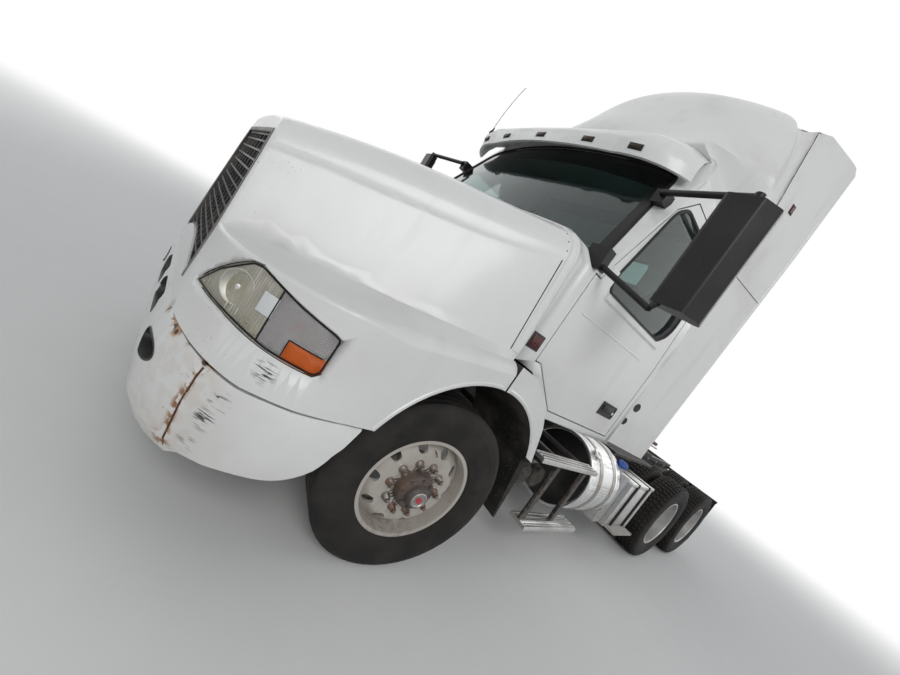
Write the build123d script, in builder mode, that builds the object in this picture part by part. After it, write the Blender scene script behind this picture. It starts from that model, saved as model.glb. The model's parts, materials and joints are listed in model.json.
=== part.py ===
from build123d import *
import math
import os

# A three-axle truck tractor with a short cab, drawn from its front axle: x to the truck's
# left, y backwards from the front axle, z up from the ground, in millimetres. Each piece
# is moved to the middle of the truck's length when it is written.

os.makedirs("parts", exist_ok=True)

# Length of the truck and its wheels
bumper_nose = -1280
tail_end = 5990
middle_y = (bumper_nose + tail_end) / 2
wheelbase = 4569
tandem_spacing = 1320
axle_height = 505
tyre_width = 285
tread_width = 236
tread_flats = 48
bead_width = 220
bead_radius = 289.7
rim_gap = 0.2
front_track = 2036
kingpin_offset = 103
kingpin_x = front_track / 2 - kingpin_offset
steer_rest = -8.5
dual_outer_x = 1110
dual_spacing = 335
rear_axle_stations = [wheelbase - tandem_spacing / 2, wheelbase + tandem_spacing / 2]

# Frame rails
rail_out = 432
rail_flange = 85
rail_wall = 9
rail_bottom = 740
rail_top = 1010
rail_front = -1100
rail_end = 5930
horn_front = -1205

# Cab
cab_half = 1130
cab_floor = 1120
cab_firewall = 50
cab_back = 1585
cab_crease = 1770
cab_eaves = 2760
cab_eaves_half = 1085
cab_roof = 2990
cab_wall = 55
cowl_top = 2030
cowl_corner = 110
roof_seam = 2800
screen_radius = 4000
screen_foot = 75
screen_foot_z = 2035
screen_slope = 0.53
screen_glass = 8
door_thick = 85
door_gap = 8
door_hinge_y = 230
door_hinge_x = 1116
door_pin_radius = 4
door_pin_play = 0.3
door_pins_z = [(1345, 1432), (1893, 1958)]

# Hood
hood_wall = 22
hood_bottom = 848
hood_rear = 40
hood_lean = 0.065
hood_inset = 14
hood_pivot_y = -1185
hood_pivot_z = 755
hood_pin_radius = 12
hood_pin_reach = 90
arch_y = 35
arch_z = 600
arch_radius = 592
wing_half = 1200
lamp_gap = 3


def across(station):
    """A plane across the truck, drawn in x and z."""
    return Plane(origin=(0, station, 0), x_dir=(1, 0, 0), z_dir=(0, -1, 0))


def side(x):
    """A plane along the truck, drawn in y and z."""
    return Plane(origin=(x, 0, 0), x_dir=(0, 1, 0), z_dir=(1, 0, 0))


def level(z):
    """A level plane, drawn in x and y."""
    return Plane.XY.offset(z)


def block(x, y, z, mode=Mode.ADD):
    """A box between two limits along each axis."""
    with Locations(((x[0] + x[1]) / 2, (y[0] + y[1]) / 2, (z[0] + z[1]) / 2)):
        Box(x[1] - x[0], y[1] - y[0], z[1] - z[0], mode=mode)


def rod(start, end, radius, mode=Mode.ADD):
    """A round bar from one point to another."""
    run = Vector(*end) - Vector(*start)
    with BuildSketch(Plane(origin=start, z_dir=run)) as section:
        Circle(radius)
    extrude(section.sketch, amount=run.length, mode=mode)


def both(piece):
    """A piece with its mirror image on the other side of the truck."""
    return Compound(children=[piece, mirror(piece, about=Plane.YZ)])


def steered(piece, hand):
    """A piece turned about one kingpin to the angle at which the truck is parked."""
    pin = Pos(hand * kingpin_x, 0, 0)
    return pin * Rot(0, 0, steer_rest) * Pos(-hand * kingpin_x, 0, 0) * piece


def write(piece, name):
    """Move a piece to the middle of the truck's length and write it."""
    placed = Pos(0, -middle_y, 0) * piece
    placed.label = name
    export_step(placed, f"parts/{name}.step")


# Frame: two channel rails, their crossmembers and the horns that carry bumper and hood
crossmember_stations = [-1040, 1480, 2500, 3350, wheelbase, 5650]
crossmember_wall = 12
crossmember_lip = 70
crossmember_z = (820, 985)
rail_inner = rail_out - rail_wall
horn_z = (690, 800)

with BuildPart() as rail:
    with BuildSketch(across(rail_front)):
        with Locations((rail_out - rail_flange / 2, (rail_bottom + rail_top) / 2)):
            Rectangle(rail_flange, rail_top - rail_bottom)
        with Locations((rail_inner - rail_flange / 2, (rail_bottom + rail_top) / 2)):
            Rectangle(rail_flange, rail_top - rail_bottom - 2 * rail_wall, mode=Mode.SUBTRACT)
    extrude(amount=-(rail_end - rail_front))
    block((rail_out - 60, rail_out), (horn_front, rail_front), horn_z)
    block((rail_out - 60, rail_out), (rail_front, rail_front + 120), (horn_z[0], rail_bottom + rail_wall))
    rod((rail_out - 5, hood_pivot_y, hood_pivot_z), (rail_out + hood_pin_reach, hood_pivot_y, hood_pivot_z),
        hood_pin_radius)
write(both(rail.part), "frame_rails")

# Crossmembers: channels between the webs of the rails
crossmembers = []
for station in crossmember_stations:
    with BuildPart() as crossmember:
        with BuildSketch(side(-rail_inner)):
            with Locations((station + crossmember_lip / 2, (crossmember_z[0] + crossmember_z[1]) / 2)):
                Rectangle(crossmember_lip, crossmember_z[1] - crossmember_z[0])
            with Locations((station + crossmember_wall + crossmember_lip / 2, (crossmember_z[0] + crossmember_z[1]) / 2)):
                Rectangle(crossmember_lip, crossmember_z[1] - crossmember_z[0] - 2 * crossmember_wall,
                          mode=Mode.SUBTRACT)
        extrude(amount=2 * rail_inner)
    crossmembers.append(crossmember.part)
write(Compound(children=crossmembers), "crossmembers")

# Front axle: a dropped beam with a boss for each kingpin, columns half width, low, high
beam_rows = [(0, 385, 475), (kingpin_x - 445, 385, 475), (kingpin_x - 215, 440, 535),
             (kingpin_x - 20, 455, 555)]
beam_depth = 90
boss_radius = 46
boss_z = (445, 565)
pin_radius = 23
spring_x = 400
spring_width = 80
spring_pad_z = 500
spring_seat_gap = 0.5

with BuildPart() as front_axle:
    with BuildSketch(across(-beam_depth / 2)):
        with BuildLine():
            Polyline(*[(x, low) for x, low, high in beam_rows])
            Polyline(*[(x, high) for x, low, high in beam_rows])
            Line(beam_rows[0][0:2], (beam_rows[0][0], beam_rows[0][2]))
            Line(beam_rows[-1][0:2], (beam_rows[-1][0], beam_rows[-1][2]))
        make_face()
        mirror(about=Plane.YZ)
    extrude(amount=-beam_depth)
    for hand in (1, -1):
        rod((hand * kingpin_x, 0, boss_z[0]), (hand * kingpin_x, 0, boss_z[1]), boss_radius)
        rod((hand * kingpin_x, 0, boss_z[0]), (hand * kingpin_x, 0, boss_z[1]), pin_radius + 0.1,
            Mode.SUBTRACT)
        pad_x = (hand * spring_x - spring_width / 2, hand * spring_x + spring_width / 2)
        block(pad_x, (-90, 90), (beam_rows[0][2] - 10, spring_pad_z - spring_seat_gap))
write(front_axle.part, "front_axle")

# Front springs: a leaf pack between a fixed hanger and a shackle on each rail
spring_front = (-690, 650)
spring_back = (640, 650)
spring_thick = 46

with BuildPart() as front_spring:
    with BuildSketch(side(spring_x - spring_width / 2)):
        with BuildLine():
            ThreePointArc(spring_front, (0, spring_pad_z), spring_back)
            Line(spring_back, (spring_back[0], spring_back[1] + spring_thick))
            ThreePointArc((spring_back[0], spring_back[1] + spring_thick), (0, spring_pad_z + spring_thick),
                          (spring_front[0], spring_front[1] + spring_thick))
            Line((spring_front[0], spring_front[1] + spring_thick), spring_front)
        make_face()
    extrude(amount=spring_width)
    for station in (spring_front[0], spring_back[0]):
        block((spring_x - 32, spring_x + 32), (station - 60, station + 40), (630, rail_bottom))
write(both(front_spring.part), "front_springs")

# Steering gear with its drop arm, on the outside of the left rail
with BuildPart() as steering_gear:
    block((rail_out, rail_out + 110), (-860, -650), (790, 960))
    rod((rail_out + 60, -755, 780), (rail_out + 60, -755, 790), 55)
    block((rail_out + 35, rail_out + 75), (-790, -720), (600, 790))
write(steering_gear.part, "steering_gear")

# Engine as one plain block on its mounts, and the gearbox behind it
engine_half = 325
with BuildPart() as engine_block:
    block((-engine_half, engine_half), (-800, 20), (620, 1640))
    for station in (-640, -60):
        block((-rail_inner, rail_inner), (station, station + 70), (800, 880))
write(engine_block.part, "engine_block")

# Driveline: gearbox, drive shaft to the first driven axle and the shaft between the two
gearbox_end = 960
shaft_radius = 48
shaft_z = 570
diff_radius = 185
with BuildPart() as driveline:
    with BuildSketch(across(20)):
        with Locations((0, 830)):
            Rectangle(480, 380)
    with BuildSketch(across(gearbox_end)):
        with Locations((0, 680)):
            Rectangle(240, 340)
    loft(ruled=True)
    block((-rail_inner, rail_inner), (700, 770), (880, 930))
    rod((0, gearbox_end, shaft_z), (0, rear_axle_stations[0] - diff_radius, shaft_z), shaft_radius)
with BuildPart() as axle_shaft:
    rod((0, rear_axle_stations[0] + diff_radius, shaft_z), (0, rear_axle_stations[1] - diff_radius, shaft_z),
        shaft_radius)
write(Compound(children=[driveline.part, axle_shaft.part]), "driveline")

# Radiator pack across the front of the rails
with BuildPart() as radiator_pack:
    block((-440, 440), (-985, -860), (rail_top, 1640))
    block((-rail_out, rail_out), (-985, -860), (rail_top, rail_top + 1))
write(radiator_pack.part, "radiator_pack")

# Driven axles: tube, round centre housing and the spindles on which the hubs turn
spindle_radius = 45
spindle_end = 900
with BuildPart() as driven_axle:
    rod((-600, 0, axle_height), (600, 0, axle_height), 68)
    rod((-spindle_end, 0, axle_height), (spindle_end, 0, axle_height), spindle_radius)
    with BuildSketch(Plane(origin=(0, -diff_radius, axle_height), x_dir=(1, 0, 0), z_dir=(0, 1, 0))):
        Circle(120)
    with BuildSketch(Plane(origin=(0, 0, axle_height), x_dir=(1, 0, 0), z_dir=(0, 1, 0))):
        Circle(diff_radius)
    with BuildSketch(Plane(origin=(0, diff_radius, axle_height), x_dir=(1, 0, 0), z_dir=(0, 1, 0))):
        Circle(120)
    loft(ruled=True)
write(Compound(children=[Pos(0, y, 0) * driven_axle.part for y in rear_axle_stations]), "rear_axles")

# Rear suspension at each end of each driven axle: hanger, trailing arm and air bag
arm_x = 390
arm_z = (365, 425)
arm_reach = 420
bag_radius = 122
with BuildPart() as suspension_arm:
    block((arm_x - 40, arm_x + 40), (-arm_reach - 50, arm_reach + 110), arm_z)
    block((arm_x - 40, arm_x + 40), (-75, 75), (arm_z[1], axle_height - 68))
    block((arm_x - 38, arm_x + 38), (-arm_reach - 60, -arm_reach + 60), (arm_z[1], rail_bottom))
    rod((arm_x, arm_reach, arm_z[1]), (arm_x, arm_reach, rail_bottom), bag_radius)
write(Compound(children=[Pos(0, y, 0) * both(suspension_arm.part) for y in rear_axle_stations]), "rear_suspension")

# Tyres: flats about the axle stand for the tread, columns distance across and radius
tyre_rows = [(-bead_width / 2, bead_radius), (-tyre_width / 2, 412), (-tread_width / 2, axle_height),
             (tread_width / 2, axle_height), (tyre_width / 2, 412), (bead_width / 2, bead_radius)]
half_flat = 180 / tread_flats

with BuildPart() as tyre:
    for distance, radius in tyre_rows:
        with BuildSketch(side(distance)):
            RegularPolygon(radius, tread_flats, major_radius=False, rotation=half_flat)
    loft(ruled=True)
    with BuildSketch(side(-bead_width / 2)):
        RegularPolygon(bead_radius, tread_flats, major_radius=False, rotation=half_flat)
    extrude(amount=bead_width, mode=Mode.SUBTRACT)

# Rims: drum radius, and for each a profile of distance across and radius
drum_outer = bead_radius - rim_gap
drum_inner = 279
flange_radius = 301
flange_in = bead_width / 2 + 5
flange_out = flange_in + 7
hub_bolt_radius = 285.75 / 2
hand_holes = 10
hand_hole_radius = 27
hub_radius = 112
front_disc_x = 92
front_hub_back = -16
front_hub_end = 190
stub_radius = 50
hub_play = 0.2


def drum_profile():
    """Half the section of a rim's drum and flanges, drawn as distance across and radius."""
    Polyline((-flange_out, flange_radius), (-flange_in, flange_radius), (-flange_in, drum_outer),
             (flange_in, drum_outer), (flange_in, flange_radius), (flange_out, flange_radius),
             (flange_out, drum_inner + 4), (flange_in, drum_inner), (-flange_in, drum_inner),
             (-flange_out, drum_inner + 4), close=True)


with BuildPart() as front_rim:
    with BuildSketch():
        with BuildLine():
            drum_profile()
        make_face()
        with BuildLine():
            Polyline((30, drum_inner + 1), (front_disc_x, 215), (front_disc_x, 100), (front_disc_x - 14, 100),
                     (front_disc_x - 14, 208), (14, drum_inner + 1), close=True)
        make_face()
    revolve(axis=Axis.X)
    with BuildSketch(side(0)):
        with PolarLocations(230, hand_holes):
            Circle(hand_hole_radius)
    extrude(amount=flange_out, mode=Mode.SUBTRACT)
    with BuildSketch():
        with BuildLine():
            Polyline((front_hub_back, stub_radius + hub_play), (front_hub_back, 150), (front_hub_back + 30, 150),
                     (front_hub_back + 30, hub_radius), (front_disc_x + 50, 96), (front_disc_x + 55, 66),
                     (front_hub_end - 12, 60), (front_hub_end, 46), (front_hub_end, 0), (front_hub_end - 30, 0),
                     (front_hub_end - 30, stub_radius + hub_play), close=True)
        make_face()
        with BuildLine():
            Polyline((front_disc_x - 14, hub_radius - 20), (front_disc_x - 14, 165), (front_disc_x - 30, 165),
                     (front_disc_x - 30, hub_radius - 20), close=True)
        make_face()
    revolve(axis=Axis.X)
    with BuildSketch(side(front_disc_x)):
        with PolarLocations(hub_bolt_radius, 10):
            RegularPolygon(18, 6)
    extrude(amount=32)

# Twin rims share a hub: the discs meet between the two tyres
twin_mid = dual_spacing / 2
hub_floor_x = spindle_end - (dual_outer_x - twin_mid) + 0.3
with BuildPart() as twin_rims:
    for offset_x, facing in ((twin_mid, 1), (-twin_mid, -1)):
        with BuildSketch():
            with BuildLine():
                Polyline((offset_x - flange_out, flange_radius), (offset_x - flange_in, flange_radius),
                         (offset_x - flange_in, drum_outer), (offset_x + flange_in, drum_outer),
                         (offset_x + flange_in, flange_radius), (offset_x + flange_out, flange_radius),
                         (offset_x + flange_out, drum_inner + 4), (offset_x + flange_in, drum_inner),
                         (offset_x - flange_in, drum_inner), (offset_x - flange_out, drum_inner + 4), close=True)
            make_face()
            with BuildLine():
                Polyline((0, 80), (0, 205), (facing * 60, drum_inner + 1), (facing * 75, drum_inner + 1),
                         (facing * 13, 198), (facing * 13, 80), close=True)
            make_face()
        revolve(axis=Axis.X)
    with BuildSketch():
        with BuildLine():
            Polyline((-300, spindle_radius + hub_play), (-300, 195), (-140, 195), (-140, 120), (120, 104),
                     (120, 90), (155, 90), (155, 0), (hub_floor_x, 0), (hub_floor_x, spindle_radius + hub_play),
                     close=True)
        make_face()
    revolve(axis=Axis.X)

for hand, word in ((1, "left"), (-1, "right")):
    turn = Rot(0, 0, 0 if hand > 0 else 180)
    place = Pos(hand * front_track / 2, 0, axle_height) * turn
    write(steered(place * tyre.part, hand), f"front_tyre_{word}")
    write(steered(place * front_rim.part, hand), f"front_rim_{word}")
    for number, station in enumerate(rear_axle_stations, 1):
        place = Pos(hand * (dual_outer_x - twin_mid), station, axle_height) * turn
        pair = [place * Pos(x, 0, 0) * tyre.part for x in (twin_mid, -twin_mid)]
        write(Compound(children=pair), f"axle{number}_tyres_{word}")
        write(place * twin_rims.part, f"axle{number}_rims_{word}")

# Steering knuckles: a fork about the axle's boss with the kingpin, a stub axle and an arm
ear_gap = 0.3
ear_thick = 34
arm_end_y = 210
arm_end_x = kingpin_x - 53
ball_radius = 28
stub_end = front_track / 2 + front_hub_end - 30 - 0.3
knuckle_out = 75
with BuildPart() as knuckle:
    for low in (boss_z[0] - ear_gap - ear_thick, boss_z[1] + ear_gap):
        rod((kingpin_x, 0, low), (kingpin_x, 0, low + ear_thick), boss_radius)
        block((kingpin_x, kingpin_x + knuckle_out), (-40, 40), (low, low + ear_thick))
    block((kingpin_x + boss_radius + 4, kingpin_x + knuckle_out), (-40, 40), (boss_z[0] - 20, boss_z[1] + 20))
    rod((kingpin_x, 0, boss_z[0] - 20), (kingpin_x, 0, boss_z[1] + 20), pin_radius)
    rod((kingpin_x + 60, 0, axle_height), (stub_end, 0, axle_height), stub_radius)
    with BuildSketch(level(boss_z[0] - ear_gap - ear_thick)):
        with BuildLine():
            Polyline((kingpin_x - 35, 0), (kingpin_x + 25, 0), (arm_end_x + ball_radius, arm_end_y),
                     (arm_end_x - ball_radius, arm_end_y), close=True)
        make_face()
    extrude(amount=ear_thick)
    rod((arm_end_x, arm_end_y, boss_z[0] - ear_gap - ear_thick - 30),
        (arm_end_x, arm_end_y, boss_z[0] - ear_gap), ball_radius)
write(steered(knuckle.part, 1), "knuckle_left")
write(steered(mirror(knuckle.part, about=Plane.YZ), -1), "knuckle_right")

# Tie rod between the ends of the two arms
turned = math.radians(steer_rest)
ball_left_x = kingpin_x + (arm_end_x - kingpin_x) * math.cos(turned) - arm_end_y * math.sin(turned)
ball_y = (arm_end_x - kingpin_x) * math.sin(turned) + arm_end_y * math.cos(turned)
ball_right_x = -kingpin_x - (arm_end_x - kingpin_x) * math.cos(turned) - arm_end_y * math.sin(turned)
ball_right_y = -(arm_end_x - kingpin_x) * math.sin(turned) + arm_end_y * math.cos(turned)
rod_z = boss_z[0] - ear_gap - ear_thick - 30 - 26.3
with BuildPart() as tie_rod:
    rod((ball_left_x, ball_y, rod_z), (ball_right_x, ball_right_y, rod_z), 20)
    rod((ball_left_x, ball_y, rod_z - 26), (ball_left_x, ball_y, rod_z + 26), ball_radius)
    rod((ball_right_x, ball_right_y, rod_z - 26), (ball_right_x, ball_right_y, rod_z + 26), ball_radius)
write(tie_rod.part, "tie_rod")


# Front plan of bumper and hood, columns x, y and the angle its face turns from straight ahead
plan_rows = [(0, bumper_nose, 0), (330, -1279, 1), (640, -1274, 8), (815, -1219, 27), (950, -1126, 42),
             (1078, -989, 52), (1165, -850, 64), (1203, -700, 80), (wing_half + 12, -560, 89)]


def plan_point(row, inset, hand=1):
    """A point of the front plan, moved inwards along its own normal."""
    x, y, facing = row
    facing = math.radians(facing)
    return hand * (x - inset * math.sin(facing)), y + inset * math.cos(facing)


def plan_arcs(inset, first, last, hand=1):
    """Arcs through each three rows of the front plan."""
    for start in range(first, last, 2):
        ThreePointArc(*[plan_point(plan_rows[start + step], inset, hand) for step in range(3)])


def front_body(inset, low, high, lean=0.0, depth=1500):
    """The block behind the front plan between two heights, leaning back as it rises."""
    last = len(plan_rows) - 1
    back = bumper_nose + depth
    shift = lean * (low - hood_bottom)
    with BuildPart() as body:
        with BuildSketch(Plane(origin=(0, shift, low))):
            with BuildLine():
                for hand in (1, -1):
                    plan_arcs(inset, 0, last, hand)
                    end = plan_point(plan_rows[last], inset, hand)
                    Line(end, (end[0], back))
                far = plan_point(plan_rows[last], inset, 1)[0]
                Line((far, back), (-far, back))
            make_face()
        extrude(amount=math.hypot(1, lean) * (high - low), dir=(0, lean, 1))
    return body.part


# The hood's lower edge in side view, in two arcs, columns y and z. The bumper follows it below a gap
lip_rows = [(-1330, 878), (-1150, 795), (-1010, 777), (-830, 799), (-640, 817)]
lip_end = -400
bumper_gap = 15


def lip_cut(drop, high=1000):
    """The space above the hood's lower edge, lowered by a gap."""
    with BuildPart() as cut:
        with BuildSketch(side(-wing_half - 60)):
            with BuildLine():
                rows = [(y, z - drop) for y, z in lip_rows]
                ThreePointArc(*rows[0:3])
                ThreePointArc(*rows[2:5])
                Polyline(rows[4], (lip_end, rows[4][1] + 2), (lip_end, high), (rows[0][0], high), rows[0])
            make_face()
        extrude(amount=2 * wing_half + 120)
    return cut.part


# Bumper: a centre and two ends, with a rounded face, columns height and inset
bumper_wall = 32
bumper_levels = [(375, 55), (450, 14), (600, 0), (720, 5), (790, 26), (832, 50)]
bumper_sill = [(-1160, 393), (-1000, 447), (-840, 495), (-720, 548), (-633, 673), (-540, 830)]
bumper_seam = 4
fog_hole = (657, 652, 200, 96)


def bumper_shell(first, last, hands):
    """The rounded bumper wall between two rows of the front plan."""
    with BuildPart() as shell:
        for wall in (0, bumper_wall):
            for height, inset in bumper_levels:
                low_edge = height - (5 if wall and height == bumper_levels[0][0] else 0)
                high_edge = low_edge + (5 if wall and height == bumper_levels[-1][0] else 0)
                with BuildSketch(level(high_edge)):
                    with BuildLine():
                        if len(hands) == 2:
                            for hand in hands:
                                plan_arcs(inset + wall, first, last, hand)
                            ends = [plan_point(plan_rows[last], inset + wall, hand) for hand in hands]
                            back = ends[0][1] + 60
                            Polyline(ends[0], (ends[0][0], back), (ends[1][0], back), ends[1])
                        else:
                            plan_arcs(inset + wall, first, last, hands[0])
                            start = plan_point(plan_rows[first], inset + wall, hands[0])
                            end = plan_point(plan_rows[last], inset + wall, hands[0])
                            Polyline(start, (start[0], end[1]), end)
                    make_face()
            loft(ruled=True, mode=Mode.SUBTRACT if wall else Mode.ADD)
    return shell.part


with BuildPart() as bumper_center:
    add(bumper_shell(0, 4, (1, -1)))
    for hand in (1, -1):
        with BuildSketch(across(-1000)):
            with Locations((hand * fog_hole[0], fog_hole[1])):
                Ellipse(fog_hole[2] / 2, fog_hole[3] / 2)
        extrude(amount=400, mode=Mode.SUBTRACT)
        rail_x = sorted((hand * (rail_out - 60), hand * rail_out))
        block(rail_x, (-1250, horn_front), (horn_z[0], horn_z[1] - 30))
    with BuildSketch(across(-1000)):
        with Locations((-205, 690), (205, 690)):
            SlotOverall(330, 120)
    extrude(amount=400, mode=Mode.SUBTRACT)
    add(lip_cut(bumper_gap), mode=Mode.SUBTRACT)
write(bumper_center.part, "bumper_center")

with BuildPart() as bumper_end:
    add(bumper_shell(4, 8, (1,)))
    with BuildSketch(side(1300)):
        with BuildLine():
            ThreePointArc(*bumper_sill[0:3])
            ThreePointArc(*bumper_sill[2:5])
            Polyline(*bumper_sill[4:6], (-500, 900), (-400, 900), (-400, 300), (bumper_sill[0][0], 300),
                     bumper_sill[0])
        make_face()
    extrude(amount=-600, mode=Mode.SUBTRACT)
    add(lip_cut(bumper_gap), mode=Mode.SUBTRACT)
write(both(bumper_end.part), "bumper_ends")

# Hood skin sections. Columns: station, crown height, ridge x and z, side x and z,
# waist x and z, wing top height
hood_rows = [(-1320, 1640, 400, 1625, 470, 1500, 560, 1175, 1135),
             (-950, 1805, 505, 1775, 610, 1600, 700, 1238, 1200),
             (-450, 1975, 715, 1920, 850, 1720, 940, 1310, 1275),
             (hood_rear, 2085, 960, 2045, 1105, 1890, 1135, 1400, 1338)]
wing_corner = 70
hood_low = 740


def hood_body(inset):
    """The solid bounded by the hood's skin, moved inwards by one distance."""
    with BuildPart() as body:
        for station, crown, ridge_x, ridge_z, side_x, side_z, waist_x, waist_z, wing_z in hood_rows:
            ridge_in, flank_in = ridge_x - inset / 2, side_x - inset
            waist_in, corner_in, wing_in = waist_x - inset, wing_half - wing_corner, wing_half - inset
            ridge_up, flank_up, waist_up = ridge_z - inset, side_z - inset / 2, waist_z - inset
            corner_up, wing_up, foot_up = wing_z - inset, wing_z - wing_corner, hood_low - 2 * inset
            with BuildSketch(across(station)):
                with BuildLine():
                    ThreePointArc((-ridge_in, ridge_up), (0, crown - inset), (ridge_in, ridge_up))
                    for hand in (1, -1):
                        shoulder = (hand * (ridge_in * 0.3 + flank_in * 0.7), ridge_up * 0.7 + flank_up * 0.3)
                        ThreePointArc((hand * ridge_in, ridge_up), shoulder, (hand * flank_in, flank_up))
                        Polyline((hand * flank_in, flank_up), (hand * waist_in, waist_up),
                                 (hand * corner_in, corner_up))
                        edge = (hand * (corner_in * 0.3 + wing_in * 0.7), corner_up * 0.7 + wing_up * 0.3)
                        ThreePointArc((hand * corner_in, corner_up), edge, (hand * wing_in, wing_up))
                        Line((hand * wing_in, wing_up), (hand * wing_in, foot_up))
                    Line((-wing_in, foot_up), (wing_in, foot_up))
                make_face()
        loft(ruled=False)
    return body.part


# Half of the grille's opening, columns half width and height, above an arched sill
grille_rows = [(530, 905), (545, 1150), (475, 1500), (432, 1600)]
grille_arch = 1000
grille_depth = 34


def grille_outline(margin):
    """The opening of the grille, narrowed by a margin."""
    rows = [(half - margin, height) for half, height in grille_rows]
    rows[0] = (rows[0][0], rows[0][1] + margin)
    rows[-1] = (rows[-1][0], rows[-1][1] - margin)
    with BuildSketch(across(-900)) as outline:
        with BuildLine():
            Polyline(*rows, *[(-half, height) for half, height in reversed(rows)])
            ThreePointArc((-rows[0][0], rows[0][1]), (0, grille_arch + margin), rows[0])
        make_face()
    return outline.sketch


# Headlamp outline on a plane across the corner, columns distance along the corner and height
lamp_rows = [(-340, 985), (-262, 1082), (-150, 1172), (-108, 1180), (80, 1138), (225, 1114), (252, 1104),
             (248, 962), (228, 940), (45, 936), (-170, 966)]
lamp_deep = 70
lamp_wall = 6
lamp_origin = (1020, -1040, 0)
lamp_along = (0.667, 0.745, 0)
lamp_out = (0.745, -0.667, 0)


def lamp_prism(margin, depth):
    """The space of the left headlamp, widened by a margin."""
    with BuildPart() as prism:
        with BuildSketch(Plane(origin=lamp_origin, x_dir=lamp_along, z_dir=lamp_out)) as outline:
            with BuildLine():
                ThreePointArc(*lamp_rows[0:3])
                Line(*lamp_rows[2:4])
                ThreePointArc(*lamp_rows[3:6])
                Polyline(*lamp_rows[5:9])
                ThreePointArc(*lamp_rows[8:11])
                Line(lamp_rows[10], lamp_rows[0])
            make_face()
            if margin:
                offset(amount=margin, kind=Kind.INTERSECTION)
        extrude(outline.sketch, amount=300)
        extrude(outline.sketch, amount=-depth)
    return prism.part


hood_round = 20
nose_edges_z = 1150
nose_edges_y = (-815, -530)
with BuildPart() as hood_skin:
    add(hood_body(0) & front_body(hood_inset, hood_low - 20, 2200, hood_lean))
    nose_edges = []
    for edge in hood_skin.edges():
        spread = edge.bounding_box()
        if spread.min.Z > nose_edges_z and spread.min.Y < nose_edges_y[0] and spread.max.Y < nose_edges_y[1]:
            nose_edges.append(edge)
    fillet(nose_edges, hood_round)
hood_outer = hood_skin.part
hood_inner = hood_body(hood_wall) & front_body(hood_inset + hood_wall, hood_low - 40, 2200, hood_lean)
lamp_left = lamp_prism(0, 200)
lamp_pocket = lamp_prism(lamp_gap, 200)
lamp_pocket_right = mirror(lamp_pocket, about=Plane.YZ)
bucket_outer = front_body(hood_inset + hood_wall - 2, 900, 1300, hood_lean) & lamp_prism(lamp_gap + lamp_wall, 250)
bucket_outer = bucket_outer - front_body(hood_inset + lamp_deep + lamp_wall, 890, 1310, hood_lean)
bucket_outer = bucket_outer & hood_body(hood_wall - 2)
bucket_inner = lamp_pocket - front_body(hood_inset + lamp_deep + 0.2, 890, 1310, hood_lean)
lamp_bucket = bucket_outer - bucket_inner

# Gooseneck arms reach from the hood's front wall down to the pins on the horns
hinge_arm_x = (rail_out + 22, rail_out + 68)
hinge_rows = [(hood_pivot_y, hood_pivot_z), (-1100, 770), (-1100, 880), (-1235, 880)]
hinge_arm_depth = 34
hinge_play = 0.2


def hinge_arm(hand):
    """One gooseneck arm of the hood with the bore for its pin."""
    start, stop = sorted((hand * hinge_arm_x[0], hand * hinge_arm_x[1]))
    with BuildPart() as arm:
        for (y1, z1), (y2, z2) in zip(hinge_rows, hinge_rows[1:]):
            with BuildSketch(side(start)):
                with Locations(((y1 + y2) / 2, (z1 + z2) / 2)):
                    run = math.hypot(y2 - y1, z2 - z1)
                    SlotOverall(run + hinge_arm_depth, hinge_arm_depth,
                                rotation=math.degrees(math.atan2(z2 - z1, y2 - y1)))
            extrude(amount=stop - start)
        with BuildSketch(side(start - 1)):
            with Locations(hinge_rows[0]):
                Circle(hood_pin_radius + hinge_play)
        extrude(amount=stop - start + 2, mode=Mode.SUBTRACT)
    return arm.part


with BuildPart() as hood_foot_block:
    block((-wing_half - 20, wing_half + 20), (lip_rows[0][0], lip_end), (hood_low - 60, 900))
hood_foot = hood_foot_block.part - lip_cut(0)

with BuildPart() as hood_shell:
    add(hood_outer)
    add(hood_inner, mode=Mode.SUBTRACT)
    add(hood_foot, mode=Mode.SUBTRACT)
    with BuildSketch(side(-wing_half - 50)):
        with Locations((arch_y, arch_z)):
            Circle(arch_radius)
    extrude(amount=2 * wing_half + 100, mode=Mode.SUBTRACT)
    extrude(grille_outline(0), amount=500, mode=Mode.SUBTRACT)
    add(lamp_pocket, mode=Mode.SUBTRACT)
    add(lamp_pocket_right, mode=Mode.SUBTRACT)
    add(lamp_bucket)
    add(mirror(lamp_bucket, about=Plane.YZ))
    add(hinge_arm(1))
    add(hinge_arm(-1))
write(hood_shell.part, "hood_shell")

# Grille: a rim and bars that follow the front face
grille_bar = 9
grille_pitch = 46
grille_column_pitch = 112
grille_columns = 9
grille_front = front_body(hood_inset + 8, 860, 1700, hood_lean)
grille_slab = grille_front - front_body(hood_inset + 8 + grille_depth, 850, 1710, hood_lean)
with BuildSketch(across(-900)) as grille_bars:
    for row in range(1, 15):
        with Locations((0, grille_rows[-1][1] - row * grille_pitch)):
            Rectangle(2 * grille_rows[1][0], grille_bar)
    for column in range(grille_columns):
        with Locations(((column - (grille_columns - 1) / 2) * grille_column_pitch, grille_rows[1][1])):
            Rectangle(grille_bar, 2 * (grille_rows[-1][1] - grille_rows[1][1]))
grille_face = (grille_outline(0.3) - grille_outline(16)) + (grille_bars.sketch & grille_outline(15))
with BuildPart() as grille:
    extrude(grille_face, amount=500)
    add(grille_slab, mode=Mode.INTERSECT)
write(grille.part, "grille")

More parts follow.
